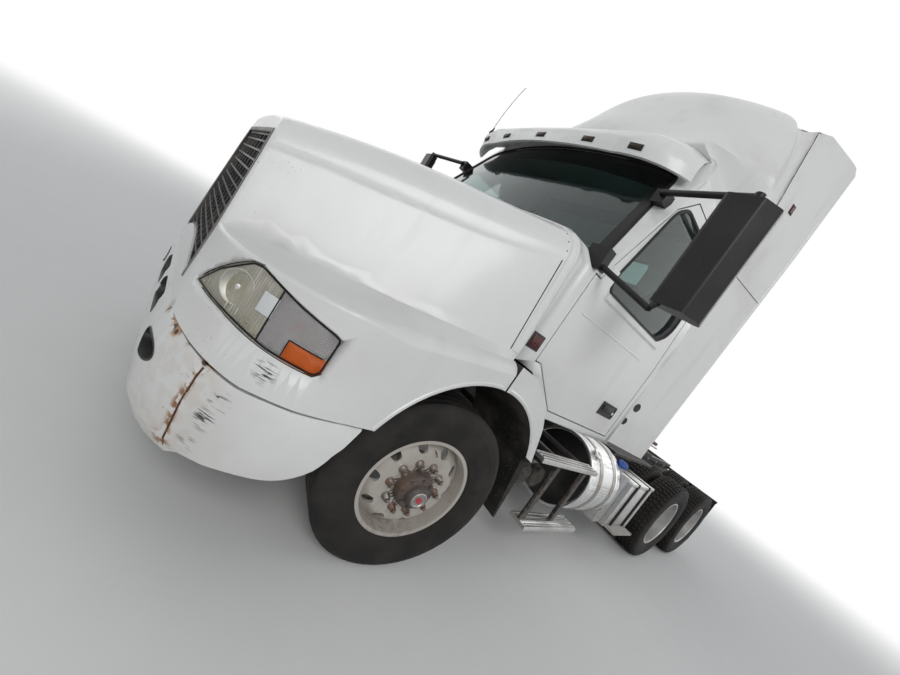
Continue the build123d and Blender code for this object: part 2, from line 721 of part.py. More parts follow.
# Headlamps: the lens follows the corner, the bowl sits behind it
lamp_solid = front_body(hood_inset + 3, 900, 1250, hood_lean)
lamp_solid = lamp_solid - front_body(hood_inset + lamp_deep, 890, 1260, hood_lean)
lamp_piece = lamp_solid & lamp_left & hood_body(3)
write(both(lamp_piece), "headlamps")

# Cab: one solid in, another out, made from a side view, a front view and the screen's curve
cab_corner = 60
roof_corner = 110
roof_rise_y = 800
screen_lean = math.atan(screen_slope)
screen_axis_y = screen_foot + screen_radius / math.cos(screen_lean)


def screen_plane(lift):
    """A plane touching the middle of the windshield, drawn across and up the glass."""
    up = (0, math.sin(screen_lean), math.cos(screen_lean))
    out = (0, -math.cos(screen_lean), math.sin(screen_lean))
    foot = (0, screen_foot + lift * out[1], screen_foot_z + lift * out[2])
    return Plane(origin=foot, x_dir=(1, 0, 0), z_dir=out)


def screen_cylinder(inset):
    """The round block whose front is the windshield's surface, moved inwards."""
    up = Vector(0, math.sin(screen_lean), math.cos(screen_lean))
    middle = Vector(0, screen_axis_y, screen_foot_z)
    with BuildPart() as cylinder:
        rod(middle - up * 5000, middle + up * 3000, screen_radius - inset)
    return cylinder.part


def cab_body(inset):
    """The solid inside the cab's panels, moved inwards by one distance."""
    half = cab_half - inset
    eaves = cab_eaves_half - inset
    roof = cab_roof - inset
    floor = cab_floor + inset
    with BuildPart() as body:
        with BuildSketch(across(-400)):
            with BuildLine():
                Polyline((-half, floor), (-half, cab_crease), (-eaves, cab_eaves), (-eaves + roof_corner, roof),
                         (eaves - roof_corner, roof), (eaves, cab_eaves), (half, cab_crease), (half, floor),
                         close=True)
            make_face()
        extrude(amount=-2400)
        with BuildSketch(level(cab_floor - 100)):
            with Locations((0, (cab_back - inset - 600) / 2)):
                RectangleRounded(2 * half, cab_back - inset + 600, cab_corner)
        extrude(amount=2400, mode=Mode.INTERSECT)
        with BuildSketch(side(-cab_half)):
            with BuildLine():
                Polyline((cab_firewall + inset, floor), (cab_back - inset, floor), (cab_back - inset, roof),
                         (roof_rise_y, roof), (cab_firewall + inset + 370, roof - 90),
                         (cab_firewall + inset, cowl_top), close=True)
            make_face()
        extrude(amount=2 * cab_half, mode=Mode.INTERSECT)
        add(screen_cylinder(inset), mode=Mode.INTERSECT)
        with BuildSketch(across(cab_firewall + inset)):
            with Locations((0, (cowl_top - inset + floor) / 2)):
                Rectangle(2 * half, cowl_top - inset - floor)
        extrude(amount=-(320 - inset))
        with BuildSketch(across(cab_firewall - 200)) as cowl_ends:
            for hand in (1, -1):
                with BuildLine():
                    Polyline((hand * half, cowl_top - inset - cowl_corner),
                             (hand * (half - cowl_corner), cowl_top - inset), (hand * half, cowl_top - inset),
                             close=True)
                make_face()
        extrude(amount=-330, mode=Mode.SUBTRACT)
    return body.part


# The wheel space under the cab follows the wing behind each front wheel
wing_rows = [(hood_rear + 10, 1338), (214, 1320), (366, 1238), (452, 1172), (534, 1075), (590, 965), (648, 850)]
wing_clear = 12
wheel_space_x = 600


def wheel_space(margin):
    """The space below the rear wings, widened by a margin, right across the truck's side."""
    with BuildPart() as space:
        with BuildSketch(side(wheel_space_x)):
            with BuildLine():
                Polyline((-300, wing_rows[0][1] + margin), *[(y + margin, z + margin) for y, z in wing_rows],
                         (wing_rows[-1][0] + margin, 700), (-300, 700), close=True)
            make_face()
        extrude(amount=700)
    return space.part


# Doors: outline columns y and z, and the window
door_rows = [(190, 1388), (248, 1388), (340, 1325), (520, 1205), (575, 1168), (1440, 1168), (1440, 2670),
             (690, 2670), (520, 2520), (252, 1936), (190, 1936)]
window_rows = [(400, 1932), (1200, 1945), (1290, 2010), (1330, 2090), (1330, 2575), (640, 2575), (545, 2500),
               (388, 2010)]
window_round = 45
door_glass_thick = 6


def door_prism(margin):
    """The left door's outline right through the cab's side, narrowed by a margin."""
    with BuildPart() as prism:
        with BuildSketch(side(cab_eaves_half - 350)):
            with BuildLine():
                Polyline(*door_rows, close=True)
            make_face()
            if margin:
                offset(amount=-margin, kind=Kind.INTERSECTION)
        extrude(amount=700)
    return prism.part


def window_prism(margin):
    """The left door's window, narrowed by a margin."""
    with BuildPart() as prism:
        with BuildSketch(side(cab_eaves_half - 350)) as outline:
            with BuildLine():
                Polyline(*window_rows, close=True)
            make_face()
            fillet(outline.vertices(), window_round)
            if margin:
                offset(amount=-margin, kind=Kind.INTERSECTION)
        extrude(amount=700)
    return prism.part


# Windshield opening on its own plane: columns half width and height up the glass
screen_low = 40
screen_high = 890
screen_half_low = 1062
screen_half_high = 925
screen_round = 90


def screen_prism():
    """The windshield's outline right through the cab's front."""
    with BuildPart() as prism:
        with BuildSketch(screen_plane(100)) as outline:
            with BuildLine():
                Polyline((-screen_half_low, screen_low), (screen_half_low, screen_low), (screen_half_high, screen_high),
                         (-screen_half_high, screen_high), close=True)
            make_face()
            fillet(outline.vertices(), screen_round)
        extrude(amount=-520)
    return prism.part


rear_window = (560, 2060, 2560)
cab_outer = cab_body(0)
cab_inner = cab_body(cab_wall)
with BuildPart() as door_inside:
    with BuildSketch(across(-400)):
        with BuildLine():
            for hand in (1, -1):
                Polyline((0, cab_floor - 200), (hand * (cab_half - door_thick), cab_floor - 200),
                         (hand * (cab_half - door_thick), cab_crease), (hand * (cab_eaves_half - door_thick), cab_eaves),
                         (hand * (cab_eaves_half - door_thick), cab_roof + 200), (0, cab_roof + 200))
        make_face()
    extrude(amount=-2400)
door_inner = door_inside.part
door_left_hole = door_prism(0)
space_left = wheel_space(wing_clear)

with BuildPart() as cab_shell:
    add(cab_outer)
    add(cab_inner, mode=Mode.SUBTRACT)
    for hand in (1, -1):
        add(door_left_hole if hand > 0 else mirror(door_left_hole, about=Plane.YZ), mode=Mode.SUBTRACT)
        add(space_left if hand > 0 else mirror(space_left, about=Plane.YZ), mode=Mode.SUBTRACT)
    add(screen_prism(), mode=Mode.SUBTRACT)
    with BuildSketch(across(cab_back + 50)):
        with Locations((0, (rear_window[1] + rear_window[2]) / 2)):
            RectangleRounded(2 * rear_window[0], rear_window[2] - rear_window[1], 60)
    extrude(amount=200, mode=Mode.SUBTRACT)
    block((-cab_half, cab_half), (-100, cab_back + 50), (roof_seam, cab_roof + 50), Mode.SUBTRACT)
    for hand in (1, -1):
        for low, high in door_pins_z:
            rod((hand * door_hinge_x, door_hinge_y, low), (hand * door_hinge_x, door_hinge_y, high), door_pin_radius)
write(cab_shell.part, "cab_shell")

with BuildPart() as cab_roof_panel:
    add(cab_outer)
    add(cab_inner, mode=Mode.SUBTRACT)
    add(screen_prism(), mode=Mode.SUBTRACT)
    block((-cab_half, cab_half), (-100, cab_back + 50), (cab_floor - 50, roof_seam), Mode.SUBTRACT)
write(cab_roof_panel.part, "cab_roof")

# Glass of the cab itself
with BuildPart() as windshield:
    add(screen_cylinder(6))
    add(screen_cylinder(6 + screen_glass), mode=Mode.SUBTRACT)
    add(screen_prism(), mode=Mode.INTERSECT)
    block((-cab_half, cab_half), (-300, 1200), (cab_floor, roof_seam + 400), Mode.INTERSECT)
with BuildPart() as back_glass:
    with BuildSketch(across(cab_back - 20)):
        with Locations((0, (rear_window[1] + rear_window[2]) / 2)):
            RectangleRounded(2 * rear_window[0], rear_window[2] - rear_window[1], 60)
    extrude(amount=6)
write(Compound(children=[windshield.part, back_glass.part]), "cab_glass")

# Doors, each as thick as the whole door, and their glass
with BuildPart() as door:
    add(cab_outer)
    add(door_inner, mode=Mode.SUBTRACT)
    add(door_prism(door_gap), mode=Mode.INTERSECT)
    add(window_prism(0), mode=Mode.SUBTRACT)
    for low, high in door_pins_z:
        rod((door_hinge_x, door_hinge_y, low - 2), (door_hinge_x, door_hinge_y, high + 2),
            door_pin_radius + door_pin_play, Mode.SUBTRACT)
with BuildPart() as door_glass:
    add(cab_body(30))
    add(cab_body(30 + door_glass_thick), mode=Mode.SUBTRACT)
    add(window_prism(0), mode=Mode.INTERSECT)
for hand, word in ((1, "left"), (-1, "right")):
    write(door.part if hand > 0 else mirror(door.part, about=Plane.YZ), f"door_{word}")
    write(door_glass.part if hand > 0 else mirror(door_glass.part, about=Plane.YZ), f"door_glass_{word}")

# Cab mounts between floor and rails
with BuildPart() as cab_mounts:
    for hand in (1, -1):
        for station in (200, 1380):
            pad_x = (hand * (rail_out - 42) - 40, hand * (rail_out - 42) + 40)
            block(pad_x, (station - 50, station + 50), (rail_top, cab_floor))
write(cab_mounts.part, "cab_mounts")

# Inside: dashboard with the steering wheel, and two seats
floor_top = cab_floor + cab_wall
dash_middle = 925
dash_gap = 14
with BuildPart() as dash_block:
    with BuildSketch(side(-cab_half)):
        with BuildLine():
            Polyline((cab_firewall, 1500), (330, 1540), (470, 1720), (500, 1900), (400, 1965), (cab_firewall, 1965),
                     close=True)
        make_face()
    extrude(amount=2 * cab_half)
dash_ends = dash_block.part & cab_body(door_thick + dash_gap)
with BuildPart() as dashboard:
    add(dash_block.part)
    block((-dash_middle, dash_middle), (cab_firewall, 700), (1400, 2000), Mode.INTERSECT)
    add(cab_inner, mode=Mode.INTERSECT)
    add(dash_ends)
    rod((540, 440, 1830), (540, 700, 1930), 38)
    with BuildSketch(Plane(origin=(540, 700, 1930), z_dir=(0, 0.9, 0.44))) as wheel:
        Circle(225)
        Circle(195, mode=Mode.SUBTRACT)
        Rectangle(400, 34)
        Circle(60)
    extrude(wheel.sketch, amount=28)
write(dashboard.part, "dashboard")

seat_x = 560
with BuildPart() as seat:
    block((seat_x - 150, seat_x + 150), (900, 1200), (floor_top, 1480))
    block((seat_x - 250, seat_x + 250), (800, 1290), (1480, 1620))
    with BuildSketch(side(seat_x - 235)):
        with BuildLine():
            Polyline((1200, 1620), (1290, 1620), (1420, 2260), (1330, 2280), close=True)
        make_face()
    extrude(amount=470)
write(both(seat.part), "seats")

# Rear wings: fixed to the cab, they carry on the arch behind the hood
wing_inner_x = 640
with BuildPart() as rear_wing:
    with BuildSketch(side(wing_inner_x)):
        with BuildLine():
            Polyline((hood_rear + 10, arch_z + 560), *wing_rows, (600, 850), (560, 850), (540, 700), (hood_rear + 10, 700),
                     close=True)
        make_face()
        with Locations((arch_y, arch_z)):
            Circle(arch_radius, mode=Mode.SUBTRACT)
    extrude(amount=wing_half - wing_inner_x)
    with BuildSketch(side(wing_inner_x)):
        with BuildLine():
            Polyline((575, 862), (660, 838), (720, 400), (705, 400), close=True)
        make_face()
    extrude(amount=wing_half - 30 - wing_inner_x)
    block((rail_out, wing_inner_x + 10), (596, 634), (858, 892))
write(both(rear_wing.part), "rear_wings")

# Sun visor over the windshield, a curved blade held off the roof
# Columns: height, y in the middle, x and y of two points of the arc to the side, x and y of
# the end, wall along the truck
visor_rows = [(2700, 250, 610, 318, 900, 405, 1050, 540, 20), (2790, 252, 610, 300, 870, 372, 1035, 560, 24),
              (2860, 325, 610, 345, 870, 415, 1020, 600, 40), (2930, 425, 600, 440, 850, 510, 990, 690, 90),
              (2980, 570, 590, 590, 830, 660, 960, 820, 160)]
visor_edge = 24
with BuildPart() as sun_visor:
    for height, y0, x1, y1, x2, y2, x3, y3, wall in visor_rows:
        with BuildSketch(level(height)):
            with BuildLine():
                ThreePointArc((-x1, y1), (0, y0), (x1, y1))
                for hand in (1, -1):
                    ThreePointArc((hand * x1, y1), (hand * x2, y2), (hand * x3, y3))
                    Line((hand * x3, y3), (hand * (x3 - visor_edge), y3 + 4))
                    ThreePointArc((hand * (x3 - visor_edge), y3 + 4), (hand * (x2 - visor_edge / 2), y2 + wall),
                                  (hand * x1, y1 + wall))
                ThreePointArc((-x1, y1 + wall), (0, y0 + wall), (x1, y1 + wall))
            make_face()
    loft(ruled=True)
    add(cab_outer, mode=Mode.SUBTRACT)

# Roof fairing: an open shell, columns height, nose, corner station and half width
fairing_rows = [(cab_roof - 60, 545, 640, 997), (3200, 715, 1100, 1010), (3430, 850, 1420, 1010),
                (3700, 1020, 1470, 955), (3860, 1150, 1490, 870), (3950, 1290, 1495, 720), (3985, 1400, 1500, 500)]
fairing_back = 1540
fairing_wall = 26


def fairing_body(inset, drop):
    """The solid bounded by the fairing, moved inwards."""
    with BuildPart() as body:
        for row, (height, nose, corner, half) in enumerate(fairing_rows):
            lowered = height - (inset if row == len(fairing_rows) - 1 else 0) - (drop if row == 0 else 0)
            with BuildSketch(level(lowered)):
                with BuildLine():
                    ThreePointArc((-half + inset, corner + inset), (0, nose + inset), (half - inset, corner + inset))
                    Polyline((half - inset, corner + inset), (half - inset, fairing_back + drop),
                             (-half + inset, fairing_back + drop), (-half + inset, corner + inset))
                make_face()
        loft(ruled=False)
    return body.part


with BuildPart() as roof_fairing:
    add(fairing_body(0, 0))
    add(fairing_body(fairing_wall, 10), mode=Mode.SUBTRACT)
    add(cab_outer, mode=Mode.SUBTRACT)
write(roof_fairing.part.solids().sort_by(SortBy.VOLUME)[-1], "roof_fairing")

visor_gap = 1
visor_blade = sun_visor.part - fairing_body(-visor_gap, 0)
write(visor_blade.solids().sort_by(SortBy.VOLUME)[-1], "sun_visor")

# Side extenders behind the cab, columns height, front x and y, rear x and y
extender_rows = [(1140, 1100, 1600, 1205, 2110), (3150, 1085, 1600, 1215, 2110), (3930, 1010, 1560, 1205, 2110)]
extender_wall = 26
with BuildPart() as extender:
    for height, front_x, front_y, rear_x, rear_y in extender_rows:
        with BuildSketch(level(height)):
            with BuildLine():
                Polyline((front_x, front_y), (rear_x, rear_y), (rear_x - extender_wall, rear_y),
                         (front_x - extender_wall, front_y), close=True)
            make_face()
    loft(ruled=True)
    with BuildSketch(side(800)):
        with BuildLine():
            Polyline((1500, 3800), (1700, 3905), (2060, 3935), (2120, 3880), (2200, 3880), (2200, 4100), (1500, 4100),
                     close=True)
        make_face()
    extrude(amount=600, mode=Mode.SUBTRACT)
    block((980, 1100), (cab_back, 1640), (2300, 2340))
    block((980, 1100), (cab_back, 1640), (1400, 1440))
write(both(extender.part), "side_extenders")

# Mirrors on their arms, which stand on the foot and the top of each windshield post
mirror_plan = [(1400, 258), (1402, 330), (1608, 408), (1620, 345), (1560, 268)]
mirror_round = 24
mirror_z = (1925, 2500)
with BuildPart() as mirror_set:
    with BuildSketch(level(mirror_z[0])) as housing:
        with BuildLine():
            Polyline(*mirror_plan, close=True)
        make_face()
        fillet(housing.vertices(), mirror_round)
    extrude(amount=mirror_z[1] - mirror_z[0])
    rod((1510, 325, mirror_z[1]), (1510, 325, mirror_z[1] + 45), 22)
    rod((1510, 325, mirror_z[1] + 30), (1030, 400, mirror_z[1] + 30), 17)
    rod((1440, 285, mirror_z[0] + 5), (1440, 240, mirror_z[0] - 45), 16)
    rod((1440, 240, mirror_z[0] - 45), (1090, 196, 1990), 16)
    block((1020, 1140), (165, 228), (1950, 2070))
    block((985, 1060), (410, 498), (2480, 2560))
    add(cab_outer, mode=Mode.SUBTRACT)
write(both(mirror_set.part.solids().sort_by(SortBy.VOLUME)[-1]), "mirrors")

# Tanks and boxes along the frame behind the steps
tank_x = 845
tank_z = 690
tank_radius = 335
tank_y = (1650, 2235)
strap_y = (1800, 2080)
strap_width = 60
strap_wall = 4
with BuildPart() as tank:
    rod((tank_x, tank_y[0], tank_z), (tank_x, tank_y[1], tank_z), tank_radius)
write(both(tank.part), "fuel_tanks")

with BuildPart() as strap:
    for station in strap_y:
        rod((tank_x, station, tank_z), (tank_x, station + strap_width, tank_z), tank_radius + 0.3 + strap_wall)
        block((rail_out, tank_x - 60), (station, station + strap_width), (tank_z - tank_radius - 4, rail_top - 30))
    rod((tank_x, tank_y[0] - 5, tank_z), (tank_x, tank_y[1] + 5, tank_z), tank_radius + 0.3, Mode.SUBTRACT)
write(both(strap.part), "tank_straps")

def_tank_y = (tank_y[1] + 15, tank_y[1] + 165)
with BuildPart() as def_tank:
    block((rail_out, 1150), def_tank_y, (400, 900))
    rod((1040, def_tank_y[0] + 70, 900), (1060, def_tank_y[0] + 40, 985), 42)
write(def_tank.part, "def_tank")

battery_y = (def_tank_y[1] + 12, def_tank_y[1] + 600)
with BuildPart() as battery_box:
    block((rail_out, 1190), battery_y, (390, 880))
    block((1190, 1300), (battery_y[0] + 38, battery_y[1] - 100), (392, 412))
write(battery_box.part, "battery_box")

# Exhaust canister on the right
exhaust_y = (tank_y[1] + 65, tank_y[1] + 915)
with BuildPart() as exhaust:
    rod((-800, exhaust_y[0], 680), (-800, exhaust_y[1], 680), 230)
    for station in (exhaust_y[0] + 150, exhaust_y[1] - 200):
        block((-800, -rail_out), (station, station + 50), (600, 960))
write(exhaust.part, "exhaust_canister")

# Cab steps on each side with the air reservoirs behind the left pair
step_edge = 1200
step_thick = 26
step_upper = (750, 1570, 876)
step_lower = (1090, 1890, 332)
step_brackets = (1100, 1520)
bracket_width = 50
with BuildPart() as cab_step:
    block((step_edge - 95, step_edge), step_upper[0:2], (step_upper[2], step_upper[2] + step_thick))
    block((step_edge - 150, step_edge), step_lower[0:2], (step_lower[2], step_lower[2] + step_thick))
    for station in step_brackets:
        bracket_y = (station, station + bracket_width)
        block((rail_out, step_edge - 60), bracket_y, (step_upper[2] - 30, step_upper[2]))
        block((step_edge - 90, step_edge - 60), bracket_y, (step_lower[2] + step_thick, step_upper[2]))
write(both(cab_step.part), "cab_steps")

with BuildPart() as reservoirs:
    for station in (860, 1060, 1260):
        rod((620, station, 620), (980, station, 620), 85)
    block((rail_out, 625), (850, 1270), (600, 780))
write(reservoirs.part, "air_reservoirs")

# Deck plate behind the cab
with BuildPart() as deck_plate:
    block((-960, 960), (tank_y[1] + 25, 3350), (rail_top, rail_top + 25))
write(deck_plate.part, "deck_plate")

# Fifth wheel: side brackets with a rocking plate that takes the trailer's kingpin
fifth_y = 4450
fifth_pin_z = 1125
fifth_top = 1225
jaw_radius = 25.6
with BuildPart() as fifth_wheel_base:
    for hand in (1, -1):
        bracket_x = sorted((hand * (rail_out - 70), hand * rail_out))
        block(bracket_x, (fifth_y - 420, fifth_y + 420), (rail_top, rail_top + 22))
        with BuildSketch(side(hand * 400 - 20)) as ear:
            with BuildLine():
                Polyline((fifth_y - 130, rail_top + 22), (fifth_y + 130, rail_top + 22), (fifth_y + 40, fifth_pin_z + 30),
                         (fifth_y - 40, fifth_pin_z + 30), close=True)
            make_face()
        extrude(ear.sketch, amount=40)
    rod((-425, fifth_y, fifth_pin_z), (425, fifth_y, fifth_pin_z), 22)
write(fifth_wheel_base.part, "fifth_wheel_base")

with BuildPart() as fifth_wheel_plate:
    with BuildSketch(level(fifth_top - 40)):
        with BuildLine():
            Polyline((-300, fifth_y - 420), (300, fifth_y - 420), (457, fifth_y - 220), (457, fifth_y + 260),
                     (330, fifth_y + 480), (160, fifth_y + 480), (jaw_radius, fifth_y + 180), (jaw_radius, fifth_y),
                     (-jaw_radius, fifth_y), (-jaw_radius, fifth_y + 180), (-160, fifth_y + 480),
                     (-330, fifth_y + 480), (-457, fifth_y + 260), (-457, fifth_y - 220), close=True)
        make_face()
        with Locations((0, fifth_y)):
            Circle(jaw_radius, mode=Mode.SUBTRACT)
    extrude(amount=40)
    for hand in (1, -1):
        ear_x = sorted((hand * 340, hand * 376))
        block(ear_x, (fifth_y - 60, fifth_y + 60), (fifth_pin_z - 35, fifth_top - 40))
    rod((-430, fifth_y, fifth_pin_z), (430, fifth_y, fifth_pin_z), 22.1, Mode.SUBTRACT)
write(fifth_wheel_plate.part, "fifth_wheel_plate")

# Mud flaps behind the last wheels, and the bar with the tail lamps
flap_y = 5815
with BuildPart() as mud_flap:
    rod((rail_out, flap_y, 960), (1230, flap_y, 960), 18)
    block((640, 1225), (flap_y - 6, flap_y + 6), (240, 945))
write(both(mud_flap.part), "mud_flaps")

with BuildPart() as tail_bar:
    block((-rail_out, rail_out), (rail_end, rail_end + 12), (rail_bottom - 60, rail_top))
    for x in (-350, -230, 230, 350):
        rod((x, rail_end + 12, 790), (x, tail_end, 790), 52)
write(tail_bar.part, "tail_bar")
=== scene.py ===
"""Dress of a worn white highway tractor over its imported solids, in metres."""

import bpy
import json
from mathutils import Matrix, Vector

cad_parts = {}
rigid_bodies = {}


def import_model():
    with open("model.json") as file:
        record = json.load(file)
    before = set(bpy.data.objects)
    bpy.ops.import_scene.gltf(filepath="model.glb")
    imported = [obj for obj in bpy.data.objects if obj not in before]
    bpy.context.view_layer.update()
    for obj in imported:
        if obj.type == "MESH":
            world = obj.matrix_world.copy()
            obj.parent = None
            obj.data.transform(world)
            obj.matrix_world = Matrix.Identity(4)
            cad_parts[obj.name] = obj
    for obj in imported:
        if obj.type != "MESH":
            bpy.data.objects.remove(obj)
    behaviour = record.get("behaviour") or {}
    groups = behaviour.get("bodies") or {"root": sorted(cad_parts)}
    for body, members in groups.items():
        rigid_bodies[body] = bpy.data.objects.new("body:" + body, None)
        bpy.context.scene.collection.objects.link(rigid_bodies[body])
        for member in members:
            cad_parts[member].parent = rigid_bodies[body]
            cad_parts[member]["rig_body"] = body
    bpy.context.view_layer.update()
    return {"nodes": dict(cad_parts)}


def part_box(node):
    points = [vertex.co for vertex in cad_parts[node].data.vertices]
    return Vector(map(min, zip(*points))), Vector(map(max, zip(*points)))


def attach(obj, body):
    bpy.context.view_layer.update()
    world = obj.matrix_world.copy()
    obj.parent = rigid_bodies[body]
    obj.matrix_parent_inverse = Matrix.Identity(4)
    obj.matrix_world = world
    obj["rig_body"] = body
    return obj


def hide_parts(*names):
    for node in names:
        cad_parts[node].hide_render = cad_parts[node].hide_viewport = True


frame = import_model()

import json
import logging
import math
from dataclasses import dataclass
from enum import Enum
from typing import Callable, Iterable, Optional, Sequence

import bmesh
import bpy
from mathutils import Matrix, Vector
from mathutils.bvhtree import BVHTree

LOG = logging.getLogger("tractor")
Colour = tuple[float, float, float]
Spot = tuple[float, float, float]
Flat = tuple[float, float]
Hit = tuple[Vector, Vector]
FRONT_AXLE_Y = -2.355
WHEEL_Z = 0.505
HANDS = ((1, "left"), (-1, "right"))


class Slot(Enum):
    """Material slots of the record; each finish names the one that it belongs to."""

    WHITE = "white_paint"
    FRAME = "frame_paint"
    CASTING = "casting"
    TYRE = "tyre"
    WHEEL = "wheel_paint"
    ALLOY = "alloy"
    STEEL = "steel"
    PLASTIC = "dark_plastic"
    LAMP = "lamp"
    GLASS = "glazing"
    INSIDE = "interior"
    CLOTH = "cloth"
    RUBBER = "rubber"


class Value:
    """A socket of a node tree; arithmetic on it adds Math nodes, and | takes the larger of two."""

    def __init__(self, tree: "Tree", socket: bpy.types.NodeSocket) -> None:
        """Keep a socket and the tree that it is in."""
        self.tree, self.socket = tree, socket

    def math(self, operation: str, first: object, second: object = 0.0) -> "Value":
        """Add a Math node for two values or numbers."""
        return self.tree.node("ShaderNodeMath", {0: first, 1: second}, operation=operation)

    def __add__(self, other: object) -> "Value":
        """Add a value or number."""
        return self.math("ADD", self, other)

    def __sub__(self, other: object) -> "Value":
        """Take away a value or number."""
        return self.math("SUBTRACT", self, other)

    def __rsub__(self, other: float) -> "Value":
        """Take this value away from a number."""
        return self.math("SUBTRACT", other, self)

    def __mul__(self, other: object) -> "Value":
        """Multiply by a value or number."""
        return self.math("MULTIPLY", self, other)

    def __truediv__(self, other: object) -> "Value":
        """Divide by a value or number."""
        return self.math("DIVIDE", self, other)

    def __or__(self, other: object) -> "Value":
        """Take the larger of two."""
        return self.math("MAXIMUM", self, other)

    def __abs__(self) -> "Value":
        """Drop the sign."""
        return self.math("ABSOLUTE", self)

    def ribs(self, count: float) -> "Value":
        """Give ribs from 0 to 1 that run across a length, by a factor on it."""
        return abs(self.math("SINE", self * count))

    def span(self, low: float, high: float) -> "Value":
        """Turn the value into 0 at low and 1 at high, smoothly."""
        ends = {1: min(low, high), 2: max(low, high)}
        if low > high:
            ends.update({3: 1.0, 4: 0.0})
        return self.tree.node("ShaderNodeMapRange", {0: self, **ends}, interpolation_type="SMOOTHSTEP")

    def mix(self, first: object, second: object) -> "Value":
        """Mix two colours with this value as the second one's share."""
        return self.tree.node("ShaderNodeMix", {0: self, 6: first, 7: second}, 2, data_type="RGBA")

    def other(self, name: str) -> "Value":
        """Give another output of the same node."""
        return Value(self.tree, self.socket.node.outputs[name])


class Tree:
    """A node tree with short calls that add and link nodes."""

    def __init__(self, tree: bpy.types.NodeTree) -> None:
        """Take hold of a tree."""
        self.tree = tree

    def join(self, source: object, target: bpy.types.NodeSocket) -> None:
        """Link a value or socket to a socket, or set a plain number or colour on it.

        Args:
            source: what to link or set.
            target: the socket that takes it.
        """
        source = source.socket if isinstance(source, Value) else source
        if isinstance(source, bpy.types.NodeSocket):
            self.tree.links.new(source, target)
        elif isinstance(source, tuple) and target.type == "RGBA":
            target.default_value = (*source, 1.0)
        else:
            target.default_value = source

    def node(self, kind: str, inputs: dict, output: object = 0, **settings: object) -> Value:
        """Add a node.

        Args:
            kind: Blender's name of the node type.
            inputs: what to link to or set on its inputs, by number or name.
            output: which of its outputs to give.
            settings: properties to set on it.

        Returns:
            The output.
        """
        node = self.tree.nodes.new(kind)
        for key, value in settings.items():
            setattr(node, key, value)
        for key, value in inputs.items():
            self.join(value, node.inputs[key])
        return Value(self, node.outputs[output])


class Bench(Tree):
    """One material's node tree, with short calls for what the finishes use."""

    def __init__(self, name: str) -> None:
        """Start an empty tree with a shader and its output."""
        self.material = bpy.data.materials.new(name)
        self.material.use_nodes = True
        super().__init__(self.material.node_tree)
        self.tree.nodes.clear()
        self.shader = self.tree.nodes.new("ShaderNodeBsdfPrincipled")
        self.output = self.tree.nodes.new("ShaderNodeOutputMaterial")
        self.join(self.shader.outputs[0], self.output.inputs["Surface"])
        self.where = self.node("ShaderNodeTexCoord", {}, "Object")
        parts = self.node("ShaderNodeSeparateXYZ", {0: self.where})
        self.x, self.y, self.z = (parts.other(letter) for letter in "XYZ")

    def fixed(self, **values: object) -> None:
        """Set or link the shader's own sockets, with underscores for the spaces in their names."""
        for key, value in values.items():
            self.join(value, self.shader.inputs[key.replace("_", " ")])

    def noise(self, scale: float, detail: float = 5, stretch: Spot = (1, 1, 1), bend: float = 0.0) -> Value:
        """Give a cloudy value about 0.5.

        Args:
            scale: how many clouds to a metre.
            detail: how many finer layers.
            stretch: factor on each axis.
            bend: how far the clouds are twisted.

        Returns:
            The value.
        """
        where = self.where
        if stretch != (1, 1, 1):
            where = self.node("ShaderNodeMapping", {"Vector": where, "Scale": stretch})
        return self.node("ShaderNodeTexNoise", {"Vector": where, "Scale": scale, "Detail": detail,
                                                "Distortion": bend})

    def roughness(self, share: Value, low: float, high: float) -> None:
        """Give the shader a roughness between two values."""
        self.fixed(Roughness=share * (high - low) + low)

    def bump(self, height: Value, distance: float, strength: float = 1.0) -> None:
        """Raise the surface by a height field.

        Args:
            height: a value from 0 to 1.
            distance: the height that 1 stands for, in metres.
            strength: share of the effect.
        """
        self.fixed(Normal=self.node("ShaderNodeBump", {"Distance": distance, "Strength": strength,
                                                       "Height": height}))

    def near(self, spot: Spot, reach: float, core: float = 0.0, both: bool = True) -> Value:
        """Give 1 near a place and 0 beyond its reach.

        Args:
            spot: the place.
            reach: where the value has come down to 0.
            core: where it starts to come down from 1.
            both: whether it does the same on the other hand of the part.

        Returns:
            The value.
        """
        gaps = [(abs(self.x) if both else self.x) - spot[0], self.y - spot[1], self.z - spot[2]]
        squares = [gap * gap for gap in gaps]
        total = squares[0] + squares[1] + squares[2]
        return total.math("SQRT", total).span(reach, core)


@dataclass(frozen=True)
class Finish:
    """A named finish with the record's slot that it belongs to; its material is made once."""

    name: str
    slot: Slot

    def material(self) -> bpy.types.Material:
        """Give the finish's material."""
        known = bpy.data.materials.get(self.name)
        if known:
            return known
        bench = Bench(self.name)
        self.paint(bench)
        return bench.material

    def paint(self, bench: Bench) -> None:
        """Add the finish's nodes; each kind of finish has its own."""
        raise NotImplementedError(self.name)


